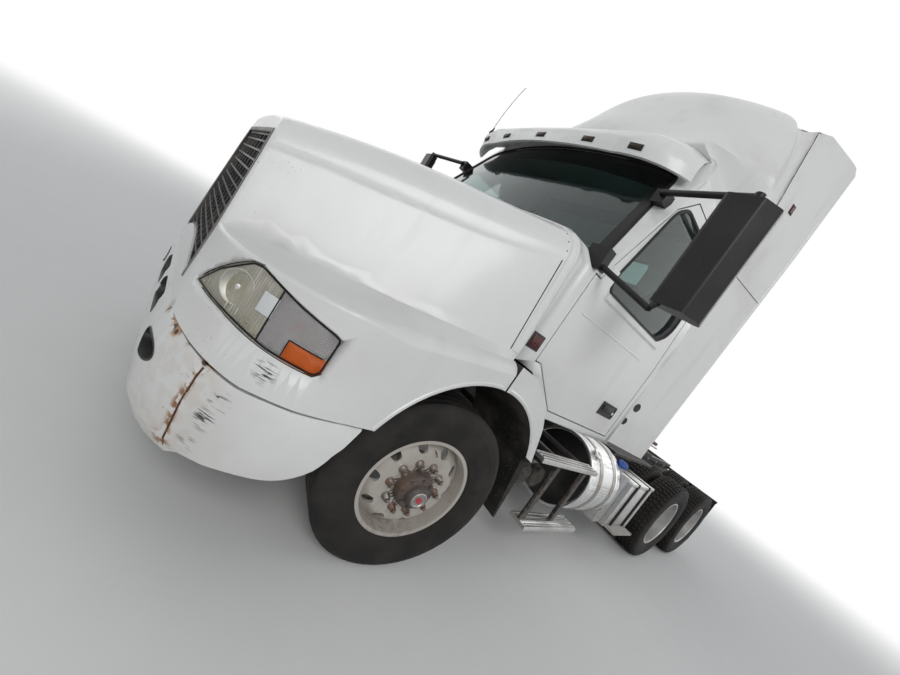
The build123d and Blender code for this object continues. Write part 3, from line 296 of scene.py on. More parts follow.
@dataclass(frozen=True)
class Coat(Finish):
    """Paint with a film of dust, water runs, splashed dirt near the ground and rust spots."""

    tint: Colour = (0.80, 0.80, 0.79)
    rough: float = 0.32
    gloss: float = 0.4
    dirt: Colour = (0.36, 0.31, 0.25)
    dust: float = 0.3
    splash_top: float = 1.0
    rust: float = 0.0
    peel: float = 0.00025

    def wear(self, bench: Bench, colour: Value) -> Value:
        """Add marks of the piece's own; plain paint has none."""
        return colour

    def paint(self, bench: Bench) -> None:
        """Add the paint's nodes."""
        cloud, grit, runs = bench.noise(1.6, 6), bench.noise(34, 8), bench.noise(7, 5, (1, 1, 0.1))
        film = cloud.span(0.45, 0.78) * self.dust
        stain = runs.span(0.54, 0.8) * (self.dust * 0.7)
        splash = bench.z.span(self.splash_top, self.splash_top * 0.3) * grit.span(0.38, 0.68)
        fine = bench.noise(140, 3).span(0.6, 0.72) * (self.dust * 0.5)
        dirty = film | stain | splash * min(1.0, self.dust * 1.9) | fine
        colour = dirty.mix(self.tint, self.dirt)
        if self.rust:
            patch = bench.noise(3.5, 4) * bench.noise(26, 9)
            rusty = patch.span(0.40 - 0.22 * self.rust, 0.47 - 0.2 * self.rust)
            colour = rusty.mix(colour, bench.noise(60, 6).mix((0.14, 0.05, 0.02), (0.42, 0.19, 0.07)))
            dirty = dirty | rusty
        bench.fixed(Base_Color=self.wear(bench, colour), Coat_Weight=self.gloss, Coat_Roughness=0.12)
        bench.roughness(dirty, self.rough, min(0.95, self.rough + 0.4))
        bench.bump(bench.noise(260, 2) + grit * 0.5, self.peel)


@dataclass(frozen=True)
class HoodCoat(Coat):
    """Hood paint with the black graze under the headlamp and sand-blasted specks on the nose."""

    def wear(self, bench: Bench, colour: Value) -> Value:
        """Add the graze and the specks."""
        streaks = bench.noise(30, 5, (0.5, 0.5, 5.0), 0.3).span(0.50, 0.56)
        graze = bench.near((1.074, -3.325, 0.872), 0.06, 0.015, False) * streaks
        specks = bench.noise(95, 4).span(0.67, 0.71) * bench.y.span(-3.3, -3.6)
        return (specks * 0.55).mix(graze.mix(colour, (0.03, 0.03, 0.035)), (0.22, 0.17, 0.13))


@dataclass(frozen=True)
class BumperCoat(Coat):
    """Bumper paint with rust along its seams and top edge, chips and black scuffs on the left corner."""

    chips: tuple[tuple[Spot, float], ...] = (((0.930, -3.470, 0.776), 0.016), ((0.745, -3.578, 0.789), 0.017),
                                             ((0.772, -3.572, 0.783), 0.013), ((0.600, -3.600, 0.790), 0.014))

    def wear(self, bench: Bench, colour: Value) -> Value:
        """Add the rust and the scuffs."""
        aside, ragged = abs(bench.x), bench.noise(24, 9)
        front = bench.y.span(-3.38, -3.44)
        seam = abs(aside - 0.940).span(0.022, 0.002) * front * ragged.span(0.47, 0.56)
        top = bench.z.span(0.765, 0.80) * aside.span(0.45, 0.7) * front * ragged.span(0.52, 0.58)
        foot = bench.near((0.92, -3.47, 0.42), 0.07, 0.01) * ragged.span(0.44, 0.54)
        rusty = (seam | top) | (foot | front * bench.noise(15, 9).span(0.71, 0.74))
        halo = ragged.span(0.40, 0.56) * (aside.span(0.5, 0.93) * (front * 0.16))
        colour = halo.mix(colour, (0.55, 0.36, 0.17))
        colour = rusty.mix(colour, bench.noise(70, 6).mix((0.10, 0.035, 0.015), (0.46, 0.20, 0.06)))
        for spot, size in self.chips:
            stain = bench.near(spot, size * 2.3, size * 0.8) * ragged.span(0.36, 0.60)
            pit = bench.near(spot, size, size * 0.7) * ragged.span(0.38, 0.44)
            colour = pit.mix(stain.mix(colour, (0.46, 0.25, 0.10)), (0.035, 0.018, 0.012))
        scuff = bench.near((1.035, -3.395, 0.690), 0.055, 0.02, False)
        scuff = scuff | bench.near((1.020, -3.404, 0.610), 0.055, 0.02, False)
        scuff = scuff | bench.near((1.0, -3.41, 0.50), 0.06, 0.01, False) * 0.7
        streaks = bench.noise(30, 5, (0.5, 0.5, 5.0), 0.3).span(0.53, 0.58)
        return (scuff * streaks).mix(colour, (0.05, 0.05, 0.055))


@dataclass(frozen=True)
class BareMetal(Finish):
    """Unpainted metal, brushed along one axis, tarnished and dusty."""

    tint: Colour = (0.62, 0.62, 0.62)
    rough: float = 0.3
    brush: Spot = (1, 1, 1)
    tarnish: float = 0.4
    stain: Colour = (0.20, 0.16, 0.12)
    rust: float = 0.0

    def paint(self, bench: Bench) -> None:
        """Add the metal's nodes."""
        cloud, lines = bench.noise(6, 8).span(0.42, 0.72), bench.noise(70, 4, self.brush)
        spotted = (cloud | bench.noise(90, 5).span(0.58, 0.7)) * self.tarnish
        colour = spotted.mix(self.tint, self.stain)
        if self.rust:
            rusty = bench.noise(19, 10).span(0.50, 0.60) * self.rust
            colour = rusty.mix(colour, bench.noise(50, 5).mix((0.12, 0.045, 0.02), (0.36, 0.15, 0.06)))
            spotted = spotted | rusty
        bench.fixed(Base_Color=colour, Metallic=1.0 - spotted * 0.85)
        bench.roughness(spotted | lines * 0.3, self.rough, 0.85)
        bench.bump(lines + cloud, 0.0002)


@dataclass(frozen=True)
class Greasy(Finish):
    """Black grease and road dirt over iron, with rust where it is dry."""

    tint: Colour = (0.035, 0.032, 0.03)
    dirt: Colour = (0.15, 0.12, 0.09)
    rust: float = 0.5

    def paint(self, bench: Bench) -> None:
        """Add the greasy nodes."""
        dusty = bench.noise(5, 7).span(0.44, 0.7)
        rusty = bench.noise(12, 8).span(0.52, 0.66) * self.rust
        bench.fixed(Base_Color=rusty.mix(dusty.mix(self.tint, self.dirt), (0.19, 0.085, 0.04)))
        bench.roughness(dusty | rusty, 0.38, 0.92)
        bench.bump(bench.noise(30, 9), 0.0012)


@dataclass(frozen=True)
class Tread(Finish):
    """Tyre rubber, greyed by dust, with fine cuts round the tread from the piece's own UV map."""

    tint: Colour = (0.013, 0.0125, 0.0125)
    dust: Colour = (0.10, 0.086, 0.073)
    amount: float = 0.25

    def paint(self, bench: Bench) -> None:
        """Add the rubber's nodes."""
        grit = bench.noise(120, 5)
        share = (bench.noise(7, 8).span(0.35, 0.75) + grit * 0.4) * self.amount
        bench.fixed(Base_Color=share.mix(self.tint, self.dust), Specular_IOR_Level=0.22)
        bench.roughness(share, 0.62, 0.93)
        wave = bench.node("ShaderNodeTexWave", {"Vector": bench.where.other("UV"), "Scale": 3.0,
                                                "Distortion": 0.6}, "Fac", bands_direction="X")
        bench.bump(wave.span(0.02, 0.2) + grit * 0.25, 0.0012, 0.7)


@dataclass(frozen=True)
class Moulded(Finish):
    """Moulded plastic or rubber with a fine grain, faded and dusty."""

    tint: Colour = (0.02, 0.02, 0.021)
    rough: float = 0.45
    grain: float = 420
    depth: float = 0.00015
    dust: float = 0.25
    pale: Colour = (0.20, 0.18, 0.155)

    def paint(self, bench: Bench) -> None:
        """Add the moulded nodes."""
        cloud, flecks = bench.noise(4, 7).span(0.4, 0.75), bench.noise(85, 4).span(0.58, 0.72)
        share = cloud * self.dust | flecks * self.dust
        bench.fixed(Base_Color=share.mix(self.tint, self.pale), Specular_IOR_Level=0.25)
        bench.roughness(share, self.rough, 0.9)
        grain = bench.node("ShaderNodeTexVoronoi", {"Vector": bench.where, "Scale": self.grain})
        bench.bump(grain, self.depth)


@dataclass(frozen=True)
class Glazing(Finish):
    """Tinted glass with a film of dust in twisted smears."""

    tint: Colour = (0.45, 0.60, 0.58)
    film: float = 0.06

    def paint(self, bench: Bench) -> None:
        """Add the glass's nodes."""
        smear = bench.noise(5, 7, (1, 1, 1), 1.2).span(0.5, 0.85) * self.film
        bench.fixed(Base_Color=smear.mix(self.tint, (0.55, 0.53, 0.5)), Transmission_Weight=1.0, IOR=1.45,
                    Specular_IOR_Level=0.6)
        bench.roughness(smear, 0.02, 0.3)
        bench.bump(bench.noise(3, 2), 0.0003, 0.2)


@dataclass(frozen=True)
class Lens(Finish):
    """A lamp's lens, fluted and yellowed by the sun, with painted shade along the flutes' troughs."""

    tint: Colour
    haze: Colour
    yellow: float
    flutes: float = 0.0
    rough: float = 0.08
    clear: float = 0.85

    def paint(self, bench: Bench) -> None:
        """Add the lens's nodes."""
        share, height = bench.noise(9, 6).span(0.35, 0.7) * self.yellow, bench.noise(90, 3)
        bench.roughness(share, self.rough, 0.45)
        if self.flutes:
            ribs = (abs(bench.x) * 0.667 + bench.y * 0.745).ribs(self.flutes)
            height = ribs + height * 0.1
            # The flutes' troughs take the second colour too: painted shade along the flutes.
            share = share | ribs.span(0.5, 0.0) * 0.75
        bench.fixed(Base_Color=share.mix(self.tint, self.haze), Transmission_Weight=self.clear, IOR=1.45)
        bench.bump(height, 0.002, 0.8)


@dataclass(frozen=True)
class Weave(Finish):
    """Woven seat cloth with a worn nap."""

    tint: Colour = (0.085, 0.09, 0.10)
    worn: Colour = (0.17, 0.17, 0.175)
    threads: float = 1400

    def paint(self, bench: Bench) -> None:
        """Add the cloth's nodes."""
        threads = bench.x.ribs(self.threads) * bench.y.ribs(self.threads)
        cloud = bench.noise(8, 6).span(0.4, 0.75)
        bench.fixed(Base_Color=((cloud + threads) * 0.5).mix(self.tint, self.worn), Sheen_Weight=0.3)
        bench.roughness(cloud, 0.8, 0.97)
        bench.bump(threads, 0.0006)


@dataclass(frozen=True)
class Fins(Finish):
    """The radiator's core: dark metal crossed by fine upright fins, with caught dirt."""

    def paint(self, bench: Bench) -> None:
        """Add the fins' nodes."""
        fins, dirt = bench.x.ribs(520), bench.noise(11, 7).span(0.4, 0.7)
        bench.fixed(Base_Color=dirt.mix((0.03, 0.03, 0.03), (0.12, 0.10, 0.08)))
        bench.roughness(fins, 0.5, 0.8)
        bench.bump(fins, 0.004)


WHITE = Coat("white_cab_paint", Slot.WHITE, dust=0.22, splash_top=1.35)
WHITE_HOOD = HoodCoat("white_hood_paint", Slot.WHITE, dust=0.2, splash_top=0.95)
WHITE_BUMPER = BumperCoat("white_bumper_paint", Slot.WHITE, dust=0.3, splash_top=0.7)
WHITE_FAIRING = Coat("white_fairing_paint", Slot.WHITE, dust=0.34, splash_top=1.2, rough=0.38)
CHASSIS = Coat("black_chassis_paint", Slot.FRAME, tint=(0.03, 0.03, 0.032), rough=0.5, gloss=0.05,
               dirt=(0.17, 0.14, 0.11), dust=0.6, splash_top=1.3, rust=0.06, peel=0.0006)
GREY_BOX = Coat("grey_box_paint", Slot.ALLOY, tint=(0.42, 0.43, 0.44), rough=0.4, gloss=0.1, dust=0.5,
                rust=0.1)
WHEEL = Coat("white_wheel_paint", Slot.WHEEL, tint=(0.50, 0.465, 0.42), rough=0.5, gloss=0.1,
             dirt=(0.27, 0.215, 0.16), dust=0.42, splash_top=0.4, rust=0.05, peel=0.0004)
IRON = Greasy("cast_iron", Slot.CASTING, rust=0.25)
HUB_GREASE = Greasy("hub_grease", Slot.CASTING, tint=(0.05, 0.045, 0.042), dirt=(0.16, 0.12, 0.10), rust=0.22)
TYRE = Tread("dusty_tyre", Slot.TYRE)
ALLOY = BareMetal("tarnished_alloy", Slot.ALLOY, tint=(0.66, 0.66, 0.66), tarnish=0.45, brush=(0.2, 1, 1))
STEP_METAL = BareMetal("step_aluminium", Slot.ALLOY, tint=(0.70, 0.70, 0.69), tarnish=0.35, brush=(1, 0.1, 1),
                       rough=0.35)
TANK_METAL = BareMetal("tank_aluminium", Slot.ALLOY, tint=(0.78, 0.79, 0.79), tarnish=0.28,
                       brush=(1, 0.08, 1), rough=0.36)
STEEL = BareMetal("dull_steel", Slot.STEEL, tint=(0.42, 0.41, 0.39), tarnish=0.5, rust=0.2)
RUST = BareMetal("rusty_edge", Slot.STEEL, tint=(0.14, 0.07, 0.04), tarnish=0.8, stain=(0.05, 0.025, 0.015),
                 rust=0.8, rough=0.7)
CHROME = BareMetal("bright_ring", Slot.STEEL, tint=(0.78, 0.78, 0.78), tarnish=0.15, rough=0.12)
NUT = BareMetal("rusty_nut", Slot.STEEL, tint=(0.24, 0.21, 0.19), tarnish=0.6, rust=0.45, rough=0.45)
REFLECTOR = BareMetal("lamp_reflector", Slot.LAMP, tint=(0.62, 0.62, 0.57), tarnish=0.35, rough=0.40)
MIRROR = BareMetal("mirror_glass", Slot.GLASS, tint=(0.86, 0.88, 0.90), tarnish=0.05, rough=0.02)
PLASTIC = Moulded("black_plastic", Slot.PLASTIC)
MIRROR_SHELL = Moulded("mirror_shell_plastic", Slot.PLASTIC, tint=(0.010, 0.010, 0.011), rough=0.36,
                       dust=0.07)
GRILLE_PAINT = Moulded("grille_plastic", Slot.PLASTIC, tint=(0.030, 0.030, 0.031), rough=0.36, dust=0.45)
GRILLE_BAND = Moulded("grille_band", Slot.ALLOY, tint=(0.17, 0.165, 0.16), rough=0.4, dust=0.35)
# Dark liner of the arches and the shells' insides; the same finish also gives the dark discs and slabs of
# painted shade in the wheels' and steps' openings.
DARK_LINER_AND_HOLE_SHADE = Moulded("wheel_arch_liner", Slot.RUBBER, tint=(0.018, 0.017, 0.016), rough=0.75, grain=60,
                depth=0.001, dust=0.55)
RUBBER = Moulded("seal_rubber", Slot.RUBBER, tint=(0.010, 0.010, 0.010), rough=0.6, grain=200, dust=0.12)
FRIT = Moulded("glass_border", Slot.PLASTIC, tint=(0.010, 0.010, 0.011), rough=0.22, grain=500, depth=0.00002,
               dust=0.04)
INSIDE = Moulded("cab_trim", Slot.INSIDE, tint=(0.105, 0.105, 0.11), rough=0.62, grain=260, depth=0.0003,
                 dust=0.3, pale=(0.24, 0.23, 0.22))
BLUE_CAP = Moulded("blue_cap", Slot.PLASTIC, tint=(0.02, 0.09, 0.42), rough=0.4, dust=0.2)
OIL_PLUG = Moulded("oil_plug", Slot.RUBBER, tint=(0.52, 0.06, 0.09), rough=0.35)
LABEL = Moulded("blank_sticker", Slot.PLASTIC, tint=(0.72, 0.73, 0.74), rough=0.5, grain=700, depth=0.00002,
                dust=0.2)
SCREEN = Glazing("windshield_glass", Slot.GLASS, tint=(0.26, 0.38, 0.37), film=0.1)
SIDE_GLASS = Glazing("side_glass", Slot.GLASS, tint=(0.36, 0.47, 0.44), film=0.12)
TINT_BAND = Glazing("tint_band", Slot.GLASS, tint=(0.05, 0.09, 0.10))
LENS_MAIN = Lens("yellowed_headlamp_lens", Slot.LAMP, (0.80, 0.78, 0.68), (0.58, 0.54, 0.40), 0.7, flutes=300,
                 clear=0.62, rough=0.16)
LENS_TURN = Lens("clear_turn_lens", Slot.LAMP, (0.92, 0.90, 0.90), (0.62, 0.57, 0.58), 0.25, flutes=620,
                 clear=0.72)
LENS_ORANGE = Lens("orange_reflector_lens", Slot.LAMP, (0.95, 0.19, 0.012), (0.80, 0.13, 0.01), 0.4,
                   flutes=600, clear=0.35)
LENS_RED = Lens("red_lamp_lens", Slot.LAMP, (0.50, 0.015, 0.015), (0.30, 0.02, 0.02), 0.4, flutes=500)
LENS_SMOKE = Lens("smoked_lamp_lens", Slot.LAMP, (0.16, 0.07, 0.02), (0.05, 0.04, 0.03), 0.6, rough=0.2)
CLOTH = Weave("seat_cloth", Slot.CLOTH)
CORE = Fins("radiator_core", Slot.FRAME)


class Touch:
    """Finds where a ray meets the surface of some of the part's nodes."""

    def __init__(self, *nodes: str) -> None:
        """Gather the named nodes' faces."""
        points: list[Vector] = []
        faces: list[list[int]] = []
        for name in nodes:
            mesh = frame["nodes"][name].data
            base = len(points)
            points.extend(v.co.copy() for v in mesh.vertices)
            faces.extend([base + i for i in p.vertices] for p in mesh.polygons)
        self.tree = BVHTree.FromPolygons(points, faces)

    def hit(self, start: Sequence[float], way: Sequence[float]) -> Optional[Hit]:
        """Cast a ray.

        Args:
            start: where it starts.
            way: its direction.

        Returns:
            The point and the normal that faces the ray, or None.
        """
        way = Vector(way).normalized()
        place, normal, _, _ = self.tree.ray_cast(Vector(start), way)
        if place is None:
            return None
        return place, (normal if normal.dot(way) < 0 else -normal)

    def path(self, starts: Iterable[Sequence[float]], way: Sequence[float]) -> list[Hit]:
        """Cast a row of rays the same way and keep those that meet the surface."""
        return self.paths((start, way) for start in starts)

    def from_left(self, spots: Iterable[Flat], x: float = 1.6) -> list[Hit]:
        """Cast level rays from the left through places in the YZ plane."""
        return self.path(((x, y, z) for y, z in spots), (-1, 0, 0))

    def paths(self, rays: Iterable[tuple[Sequence[float], Sequence[float]]]) -> list[Hit]:
        """Cast rays, each with its start and direction, and keep those that meet the surface."""
        return [place for place in (self.hit(*ray) for ray in rays) if place]


def side_axes(direction: Vector) -> tuple[Vector, Vector]:
    """Give two directions square to one, the same for every call."""
    way = direction.normalized()
    base = Vector((0, 0, 1)) if abs(way.z) < 0.9 else Vector((0, 1, 0))
    first = base.cross(way).normalized()
    return first, way.cross(first)


def facing(point: Sequence[float], direction: Sequence[float]) -> Matrix:
    """Give the placement whose Z axis points along a direction from a point."""
    way = Vector(direction).normalized()
    first, second = side_axes(way)
    turn = Matrix((first, second, way)).transposed().to_4x4()
    return Matrix.Translation(Vector(point)) @ turn


def neighbours(items: Sequence, loop: bool) -> list[tuple]:
    """Pair each item with the next, and the last with the first in a loop."""
    return list(zip(items, items[1:])) + ([(items[-1], items[0])] if loop else [])


def ways(line: Sequence[Vector], loop: bool) -> list[Vector]:
    """Give a line's direction at each of its points, from the point before to the point after.

    Args:
        line: the points.
        loop: whether the line closes on itself.

    Returns:
        The directions.
    """
    count = len(line)
    before = [line[k - 1] if k or loop else line[k] for k in range(count)]
    after = [line[(k + 1) % count] if k < count - 1 or loop else line[k] for k in range(count)]
    return [(end - start).normalized() for start, end in zip(before, after)]


def block(wide: float, high: float) -> list[Flat]:
    """Give the corners of a rectangle about the origin."""
    return [(-wide / 2, -high / 2), (wide / 2, -high / 2), (wide / 2, high / 2), (-wide / 2, high / 2)]


def arc(start: float, extent: float, steps: int) -> list[float]:
    """Give angles from a start over an extent, both in degrees, as radians."""
    return [math.radians(start + extent * step / steps) for step in range(steps + 1)]


def rounded(corners: Sequence[Flat], radius: float, steps: int = 5, spacing: float = 0.06) -> list[Flat]:
    """Round the corners of a closed outline and divide its sides.

    Args:
        corners: the outline's corners.
        radius: the corners' radius.
        steps: points to a corner.
        spacing: the most between points on a side.

    Returns:
        The points in order.
    """
    points: list[Flat] = []
    count = len(corners)

    def divide(last: Vector, start: Vector) -> None:
        """Add the points between two."""
        parts = max(1, int((start - last).length / spacing))
        points.extend(tuple(last.lerp(start, k / parts)) for k in range(1, parts))

    for number in range(count):
        before, here, after = (Vector(corners[(number + k) % count]) for k in (-1, 0, 1))
        into, away = (before - here).normalized(), (after - here).normalized()
        reach = min(radius, (before - here).length * 0.45, (after - here).length * 0.45)
        start, end = here + into * reach, here + away * reach
        if points:
            divide(Vector(points[-1]), start)
        for k in range(steps + 1):
            t = k / steps
            points.append(tuple(start.lerp(here, t).lerp(here.lerp(end, t), t)))
    divide(Vector(points[-1]), Vector(points[0]))
    return points


def grown(points: Sequence[Flat], amount: float) -> list[Flat]:
    """Widen a closed outline, or narrow it.

    Args:
        points: the outline.
        amount: how far its sides move out, or in if it is negative.

    Returns:
        The new outline.
    """
    area = sum(before[0] * after[1] - after[0] * before[1] for before, after in neighbours(points, True))
    hand = 1 if area > 0 else -1
    result = []
    for number, point in enumerate(points):
        before, after = points[number - 1], points[(number + 1) % len(points)]
        along = Vector((after[0] - before[0], after[1] - before[1])).normalized()
        result.append((point[0] + along.y * amount * hand, point[1] - along.x * amount * hand))
    return result


def wall(piece: bpy.types.Object, thick: float, offset: float) -> None:
    """Give an open piece a thickness, set off from its surface by a share."""
    step = piece.modifiers.new("wall", "SOLIDIFY")
    step.thickness, step.offset = thick, offset


class Shape:
    """A mesh in the making; what adds to it gives it back, so that one call can follow another."""

    def __init__(self, mesh: Optional[bpy.types.Mesh] = None) -> None:
        """Start empty, or from a mesh."""
        self.bm = bmesh.new()
        if mesh:
            self.bm.from_mesh(mesh)

    def mesh(self, name: str) -> bpy.types.Mesh:
        """Turn the shape into a named mesh, which uses it up."""
        mesh = bpy.data.meshes.new(name)
        self.bm.to_mesh(mesh)
        self.bm.free()
        return mesh

    def add(self, other: "Shape") -> "Shape":
        """Take in another shape, which is used up."""
        mesh = other.mesh("part")
        self.bm.from_mesh(mesh)
        bpy.data.meshes.remove(mesh)
        return self

    def copied(self) -> "Shape":
        """Give a copy of the shape."""
        other = Shape()
        other.bm.free()
        other.bm = self.bm.copy()
        return other

    def move(self, matrix: Matrix) -> "Shape":
        """Move the whole shape by a matrix."""
        bmesh.ops.transform(self.bm, matrix=matrix, verts=list(self.bm.verts))
        return self

    def outwards(self) -> "Shape":
        """Turn every face outwards."""
        bmesh.ops.recalc_face_normals(self.bm, faces=list(self.bm.faces))
        return self

    def mirror(self, keep: bool = True) -> "Shape":
        """Mirror the shape across the part's middle.

        Args:
            keep: whether the first hand stays beside the mirrored one.

        Returns:
            The shape.
        """
        source = list(self.bm.verts) + list(self.bm.edges) + list(self.bm.faces)
        if keep:
            source = bmesh.ops.duplicate(self.bm, geom=source)["geom"]
        verts = [g for g in source if isinstance(g, bmesh.types.BMVert)]
        faces = [g for g in source if isinstance(g, bmesh.types.BMFace)]
        bmesh.ops.transform(self.bm, matrix=Matrix.Diagonal((-1, 1, 1, 1)), verts=verts)
        bmesh.ops.reverse_faces(self.bm, faces=faces)
        return self

    def points(self, spots: Iterable[Sequence[float]]) -> list[bmesh.types.BMVert]:
        """Add points."""
        return [self.bm.verts.new(spot) for spot in spots]

    def circle(self, middle: Vector, first: Vector, second: Vector, radius: float,
               sides: int) -> list[bmesh.types.BMVert]:
        """Add a ring of points.

        Args:
            middle: its middle.
            first: the direction of its first point.
            second: a direction square to the first.
            radius: its radius.
            sides: how many points it has.

        Returns:
            The points.
        """
        turns = [2 * math.pi * step / sides for step in range(sides)]
        return self.points(middle + (first * math.cos(turn) + second * math.sin(turn)) * radius
                           for turn in turns)

    def stitch(self, rings: Sequence[list[bmesh.types.BMVert]], loop: bool = False, turned: bool = True,
               closed: bool = True) -> None:
        """Join rows of points with faces.

        Args:
            rings: the rows, all of one length.
            loop: whether the last row joins the first.
            turned: whether the faces go round the other way.
            closed: whether each row closes on itself.
        """
        for low, high in neighbours(rings, loop):
            for (one, two), (three, four) in zip(neighbours(low, closed), neighbours(high, closed)):
                self.bm.faces.new((one, two, four, three) if turned else (one, three, four, two))

    def lathe(self, profile: Sequence[Flat], base: Sequence[float] = (0, 0, 0),
              direction: Sequence[float] = (0, 0, 1), sides: int = 32, loop: bool = False) -> "Shape":
        """Turn a profile about an axis.

        Args:
            profile: distance along the axis and radius of each ring.
            base: a point on the axis.
            direction: the axis.
            sides: how many faces go round.
            loop: whether the last ring joins the first.

        Returns:
            The shape.
        """
        way = Vector(direction).normalized()
        axes = side_axes(way)
        rings = []
        for along, radius in profile:
            middle = Vector(base) + way * along
            rings.append(self.circle(middle, *axes, radius, sides) if radius > 0 else self.points([middle]))
        uv = self.bm.loops.layers.uv.verify()
        for row, (low, high) in enumerate(neighbours(rings, loop)):
            for step in range(sides):
                after = (step + 1) % sides
                if len(low) == 1 and len(high) == 1:
                    break
                if len(low) == 1:
                    self.bm.faces.new((low[0], high[step], high[after]))
                elif len(high) == 1:
                    self.bm.faces.new((low[step], high[0], low[after]))
                else:
                    face = self.bm.faces.new((low[step], high[step], high[after], low[after]))
                    for corner, u, v in zip(face.loops, (0, 0, 1, 1), (0, 1, 1, 0)):
                        corner[uv].uv = ((step + u) * 0.5, row + v)
        return self

    def tube(self, points: Sequence[Sequence[float]], radius: float, sides: int = 10) -> "Shape":
        """Run a round bar along points.

        Args:
            points: the middle line.
            radius: the bar's radius.
            sides: how many faces go round.

        Returns:
            The shape.
        """
        line = [Vector(p) for p in points]
        up = None
        rings = []
        for point, way in zip(line, ways(line, False)):
            up = side_axes(way)[0] if up is None else up
            up = (up - way * up.dot(way)).normalized()
            rings.append(self.circle(point, up, way.cross(up), radius, sides))
        self.stitch(rings)
        self.bm.faces.new(list(reversed(rings[0])))
        self.bm.faces.new(rings[-1])
        return self

    def strip(self, places: Sequence[Hit], width: float, height: float, sink: float = 0.002,
              loop: bool = False, chamfer: float = 0.3) -> "Shape":
        """Lay a flat strip with softened edges over a surface.

        Args:
            places: points on the surface with its normals.
            width: the strip's width.
            height: how far it stands out.
            sink: how far its underside lies in the surface.
            loop: whether it closes on itself.
            chamfer: share of the width taken off at each edge.

        Returns:
            The shape.
        """
        cut, half = min(width * chamfer, height), width / 2
        section = [(-half, -sink), (-half, height - cut), (-half + cut, height), (half - cut, height),
                   (half, height - cut), (half, -sink)]
        rings = []
        for (point, normal), way in zip(places, ways([place[0] for place in places], loop)):
            across = normal.cross(way).normalized()
            out = way.cross(across).normalized()
            rings.append(self.points(point + across * a + out * h for a, h in section))
        self.stitch(rings, loop, False)
        if not loop:
            self.bm.faces.new(rings[0])
            self.bm.faces.new(list(reversed(rings[-1])))
        return self

    def box(self, low: Sequence[float], high: Sequence[float], round_edge: float = 0.004,
            turn: Optional[Matrix] = None) -> "Shape":
        """Add a box with rounded edges.

        Args:
            low: its lowest corner.
            high: its highest corner.
            round_edge: how far its edges are rounded.
            turn: a placement of the finished box.

        Returns:
            The shape.
        """
        size, middle = Vector(high) - Vector(low), (Vector(high) + Vector(low)) / 2
        made = bmesh.ops.create_cube(self.bm, size=1.0,
                                     matrix=Matrix.Translation(middle) @ Matrix.Diagonal((*size, 1.0)))
        edges = list({e for v in made["verts"] for e in v.link_edges})
        done = bmesh.ops.bevel(self.bm, geom=edges, offset=min(round_edge, min(size) * 0.45), segments=2,
                               affect="EDGES", profile=0.5)
        if turn is not None:
            verts = {v for f in done["faces"] for v in f.verts} | {v for v in made["verts"] if v.is_valid}
            bmesh.ops.transform(self.bm, matrix=turn, verts=list(verts))
        return self

    def pad(self, place: Hit, wide: float, high: float, thick: float, round_edge: float = 0.004,
            sink: float = 0.002) -> "Shape":
        """Set a rounded pad on a surface.

        Args:
            place: the middle of its foot and the surface's normal.
            wide: its level size.
            high: its upright size.
            thick: how far it stands out.
            round_edge: how far its edges are rounded.
            sink: how far it goes into the surface.

        Returns:
            The shape.
        """
        low, top = (-wide / 2, -high / 2, -sink), (wide / 2, high / 2, thick)
        return self.box(low, top, round_edge, facing(*place))

    def settle(self, name: str, finish: Finish, body: str = "chassis", slot: Optional[Slot] = None,
               sharp: float = 32, outward: bool = True) -> bpy.types.Object:
        """Make a finished piece of the shape and let it ride on a body.

        Args:
            name: the piece's name.
            finish: its finish.
            body: the body that it rides on.
            slot: the record's slot, where it isn't the finish's own; not used.
            sharp: edges bent more than this many degrees stay sharp.
            outward: whether its faces are turned outwards first.

        Returns:
            The piece.
        """
        if outward:
            self.outwards()
        mesh = self.mesh(name)
        # This also sets the faces of repeated items back to the first material.
        mesh.materials.clear()
        mesh.materials.append(finish.material())
        for face in mesh.polygons:
            face.use_smooth = True
        mesh.set_sharp_from_angle(angle=math.radians(sharp))
        piece = bpy.data.objects.new(name, mesh)
        bpy.context.scene.collection.objects.link(piece)
        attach(piece, body)
        LOG.info("%s on %s, %d faces", name, body, len(mesh.polygons))
        return piece


class Pattern(Enum):
    """The ways in which a small item is repeated."""

    RING = "items_round_a_ring"
    GRID = "items_over_a_grid"


